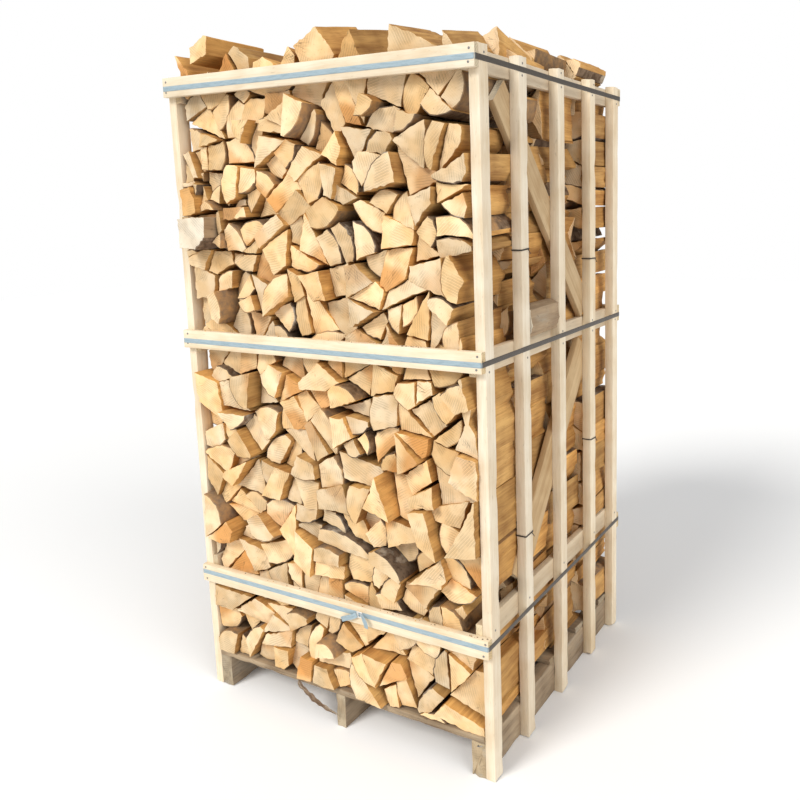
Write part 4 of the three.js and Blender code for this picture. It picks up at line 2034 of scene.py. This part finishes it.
@dataclass
class BarkSliver:
    """A strip of bark that hangs from the deck's front edge down to the middle runner."""

    width: float = 0.021
    profile: Sequence[tuple[float, float]] = (
        (1.0, 0.0), (0.4, 0.0026), (-0.4, 0.0022), (-1.0, 0.0), (-0.4, -0.0004), (0.4, -0.0003)
    )
    seed: int = 3

    def build(self) -> None:
        """Builds the strip with a ragged, curled edge."""
        rng = np.random.default_rng(self.seed)
        deck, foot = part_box("deck_board_1"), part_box("runner_middle")
        start = np.array([foot[0].x - 0.15, deck[0].y - 0.004, deck[0].z - 0.002])
        end = np.array([foot[0].x + 0.002, foot[0].y - 0.004, deck[0].z * 0.38])
        torn = ripple(rng, 6, 12.0, 70.0)
        stock = Stock((BIRCH_BARK, BIRCH_SPLIT))
        rings, timber = [], []
        for t in np.linspace(0, 1, 26):
            sag = np.array([0.0, -0.008 * math.sin(math.pi * t), -0.016 * t * (1 - t)])
            spine = start + (end - start) * t + sag
            half = self.width * 0.5 * (1 - 0.75 * t**3) * (1 + 0.35 * float(torn(t * 0.16, 0.0)))
            rings.append([spine + (0.25 * a * half, -out, a * half) for a, out in self.profile])
            timber.append([(0.05, 0.16 * t, 0.02 * k) for k in range(6)])
        stock.tube(rings, timber, 0.05, slots=np.array([0, 0, 0, 1, 1, 1]), cap=1)
        hand_over(stock.make("bark_sliver"), "birch")


@dataclass
class Crumbs:
    """Chips of bark and wood that lie on the front battens' upper edges."""

    each: int = 44
    smallest: float = 0.0012
    largest: float = 0.0042
    seed: int = 17

    def build(self) -> None:
        """Builds every crumb as one piece."""
        rng = np.random.default_rng(self.seed)
        stock = Stock((BIRCH_BARK, BIRCH_SPLIT))
        corners = np.arange(5) * math.tau / 5
        for belt in BELTS:
            board = Board.from_node(f"batten_front_{belt}")
            thick, wide, long = board.sizes()
            for _ in range(self.each):
                size = rng.uniform(self.smallest, self.largest)
                middle = np.array([thick * rng.uniform(0.2, 0.8), long * rng.beta(1.7, 1.1)])
                turn, reach = rng.uniform(0, math.tau) - corners, size * rng.uniform(0.4, 1.0, 5)
                flat = np.column_stack([0.6 * reach * np.cos(turn), reach * np.sin(turn)])
                tone, kind = rng.uniform(), int(rng.uniform() < 0.35)
                rings = []
                for share, lift in ((1.0, -0.0004), (0.95, 0.2 * size), (0.5, 0.5 * size)):
                    across, along = (middle + flat * share).T
                    rings.append(board.place(across, np.full(5, wide + lift), along))
                stock.tube(rings, rings, tone, slots=kind, cap=kind)
        hand_over(stock.make("bark_crumbs"), "birch")


@dataclass
class TieWires:
    """Thin wires twisted round two of the right-hand posts."""

    places: Sequence[tuple[int, float]] = ((2, 1.483), (2, 0.647), (4, 1.422), (4, 0.8))
    radius: float = 0.0011

    def build(self) -> None:
        """Builds all the loops and their twisted tails as one piece."""
        stock = Stock((TIE_WIRE,))
        for i, (number, height) in enumerate(self.places):
            low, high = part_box(f"post_right_{number}")
            rng = np.random.default_rng(90 + i)
            stand = self.radius * 1.2
            half = Vector(((high.x - low.x) / 2 + stand, (high.y - low.y) / 2 + stand, 0))
            middle = Vector(((high.x + low.x) / 2, (high.y + low.y) / 2, height))
            for turn in range(2):
                loop = []
                for x, y in rounded_loop(half.x, half.y, 0.003, 4):
                    dip = 0.0022 * turn + 0.0015 * math.sin(40 * y + i)
                    loop.append(middle + Vector((x, y, dip)))
                wire_into(stock, loop, self.radius, True, 6)
            start = middle + Vector((half.x, half.y * 0.6, 0))
            tail = [
                start + Vector((0.001 + 0.004 * s, 0.006 * s + rng.normal(0, 0.0006), -0.012 * s))
                for s in np.linspace(0, 1, 7)
            ]
            wire_into(stock, tail, self.radius, False, 6)
        hand_over(stock.make("post_tie_wires", 60), "wire")


@dataclass
class Nails:
    """Nail heads where boards cross, and one bent nail in the pallet."""

    radius: float = 0.0033
    from_end: float = 0.0145
    batten_width: float = 0.055
    off_strap: float = 0.012
    seed: int = 5

    def head_into(self, stock: Stock, place: Vector, out: Vector, rng: Rng) -> None:
        """Adds one slightly domed nail head.

        Args:
            stock: Where the faces go.
            place: The middle of the head on the wood's face.
            out: The face's outward normal.
            rng: Random numbers.
        """
        side = out.orthogonal().normalized()
        other = out.cross(side)
        angles = [math.tau * k / 12 for k in range(12)]
        round_it = [side * math.cos(a) + other * math.sin(a) for a in angles]
        rings = []
        for reach, lift in ((1.0, -0.0006), (1.0, 0.0005), (0.8, 0.0009), (0.35, 0.0011)):
            rings.append([place + self.radius * reach * away + out * lift for away in round_it])
        stock.tube(rings, rings, rng.uniform())

    def bent_into(self, stock: Stock) -> None:
        """Adds the bent nail that stands out of the right runner's front end."""
        low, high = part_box("runner_right")
        root = Vector(((low.x + high.x) / 2, low.y + 0.006, high.z - 0.01))
        steps = (
            (0, 0, 0), (0, -0.009, 0.001), (0.004, -0.014, 0.004), (0.011, -0.015, 0.009),
            (0.018, -0.013, 0.01),
        )
        wire_into(stock, [root + Vector(step) for step in steps], 0.45 * self.radius, False)

    def build(self) -> None:
        """Builds the nail heads and the bent nail as one piece."""
        rng = np.random.default_rng(self.seed)
        stock = Stock((NAIL_STEEL,))
        for face, out in (("front", Vector((0, -1, 0))), ("back", Vector((0, 1, 0)))):
            for belt in BELTS:
                low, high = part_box(f"batten_{face}_{belt}")
                y = low.y if out.y < 0 else high.y
                strap = Strap(belt)
                for side in (-1, 1):
                    for lift in (-0.3, 0.32):
                        x = side * (high.x - self.from_end + rng.normal(0, 0.003))
                        tilt = strap.height_at(x) - strap.height_at(0)
                        z = (low.z + high.z) / 2 + tilt + self.batten_width * lift + rng.normal(0, 0.002)
                        self.head_into(stock, Vector((x, y, z)), out, rng)
        for side in SIDES:
            sign = 1 if side == "right" else -1
            for number in range(1, 6):
                low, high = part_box(f"post_{side}_{number}")
                face = high.x if sign > 0 else low.x
                for belt in BELTS:
                    rail_low, rail_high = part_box(f"rail_{side}_{belt}")
                    for lift in (0.22, 0.78):
                        y = (low.y + high.y) / 2 + rng.normal(0, 0.006)
                        z = rail_low.z + lift * (rail_high.z - rail_low.z) + rng.normal(0, 0.003)
                        if abs(z - Strap(belt).height_at(face)) > self.off_strap:
                            self.head_into(stock, Vector((face, y, z)), Vector((sign, 0, 0)), rng)
        self.bent_into(stock)
        hand_over(stock.make("nail_heads", 50), "wire")


# ---- Studio ----


@dataclass
class Studio:
    """The floor, the light and the camera."""

    eye: tuple[float, float, float] = (1.5333, -2.283, 1.6102)
    heading: float = 29.31
    pitch: float = -9.27
    roll: float = -1.38
    lens: float = 36.25
    shift: tuple[float, float] = (-0.10, -0.08)
    ambient: float = 0.44
    floor_reach: float = 14.0

    def lay_floor(self) -> None:
        """Lays a large pale floor under the crate."""
        mesh = bpy.data.meshes.new("pale_floor")
        reach = self.floor_reach
        corners = [(-reach, -reach, 0), (reach, -reach, 0), (reach, reach, 0), (-reach, reach, 0)]
        mesh.from_pydata(corners, [], [(0, 1, 2, 3)])
        mesh.materials.append(PaleFloor("pale_floor", (0.93, 0.93, 0.93)).material())
        floor = into_scene("pale_floor", mesh)
        floor.location.z = -0.001

    def lamp(self, name: str, aim: Sequence[float], strength: float, softness: float, colour: Colour) -> None:
        """Adds one soft, far-off lamp.

        Args:
            name: The lamp's name.
            aim: The way its light travels.
            strength: Its strength.
            softness: How wide it looks, in degrees.
            colour: Its colour.
        """
        data = bpy.data.lights.new(name, "SUN")
        data.energy, data.angle, data.color = strength, math.radians(softness), colour
        lamp = into_scene(name, data)
        lamp.rotation_euler = Vector(aim).to_track_quat("-Z", "Y").to_euler()

    def light(self) -> None:
        """Sets the soft studio light."""
        self.lamp("key", (0.3, 1.0, -0.85), 2.3, 22, (1.0, 0.985, 0.95))
        self.lamp("fill", (-1.0, 0.45, -0.6), 1.65, 45, (1.0, 0.99, 0.98))
        world = bpy.data.worlds.new("studio")
        world.use_nodes = True
        canvas = Canvas(world.node_tree)
        ambient = world.node_tree.nodes["Background"]
        canvas.fill(ambient, {"Color": (0.97, 0.985, 1.0), "Strength": self.ambient})
        backdrop = canvas.add("Background", {"Color": (1.0, 1.0, 1.0), "Strength": 1.0})
        seen = canvas.add("LightPath").outputs["Is Camera Ray"]
        both = canvas.add("MixShader", {0: seen, 1: ambient.outputs[0], 2: backdrop.outputs[0]})
        canvas.feed(world.node_tree.nodes["World Output"].inputs["Surface"], both.outputs[0])
        bpy.context.scene.world = world
        bpy.context.scene.view_settings.view_transform = "Standard"

    def stand_camera(self) -> None:
        """Stands the camera at the crate's front right corner, at eye height."""
        data = bpy.data.cameras.new("camera")
        data.lens = self.lens
        data.shift_x, data.shift_y = self.shift
        data.clip_end = 60
        camera = into_scene("camera", data)
        heading, pitch, roll = (math.radians(a) for a in (self.heading, self.pitch, self.roll))
        flat = math.cos(pitch)
        aim = Vector((-math.sin(heading) * flat, math.cos(heading) * flat, math.sin(pitch)))
        level = Vector((math.cos(heading), math.sin(heading), 0))
        upright = level.cross(aim)
        right = level * math.cos(roll) + upright * math.sin(roll)
        up = upright * math.cos(roll) - level * math.sin(roll)
        turn = Matrix((right, up, -aim)).transposed().to_4x4()
        camera.matrix_world = Matrix.Translation(self.eye) @ turn
        bpy.context.scene.camera = camera


def main() -> None:
    """Builds the studio, then the crate from its frame to its straps."""
    logging.basicConfig(level=logging.INFO, format="%(name)s %(message)s")
    studio = Studio()
    studio.lay_floor()
    studio.light()
    studio.stand_camera()
    FrameBoards().build()
    Pallet().build()
    fine, plain = LogForm(stations=6), LogForm(stations=4)
    for number in ROWS:
        form = fine if number in (1, 4) else plain
        slanted = 0.0 if number == 4 else 0.6
        LogRow(number, form, packing_seed=40 + number, slanted=slanted).build()
    for loose in LOOSE_LOGS:
        loose.build()
    for belt in BELTS:
        Strap(belt).build()
        Buckle(belt).build()
    for tail in STRAP_TAILS:
        tail.build()
    BarkSliver().build()
    Crumbs().build()
    TieWires().build()
    Nails().build()


if __name__ == "__main__":
    main()
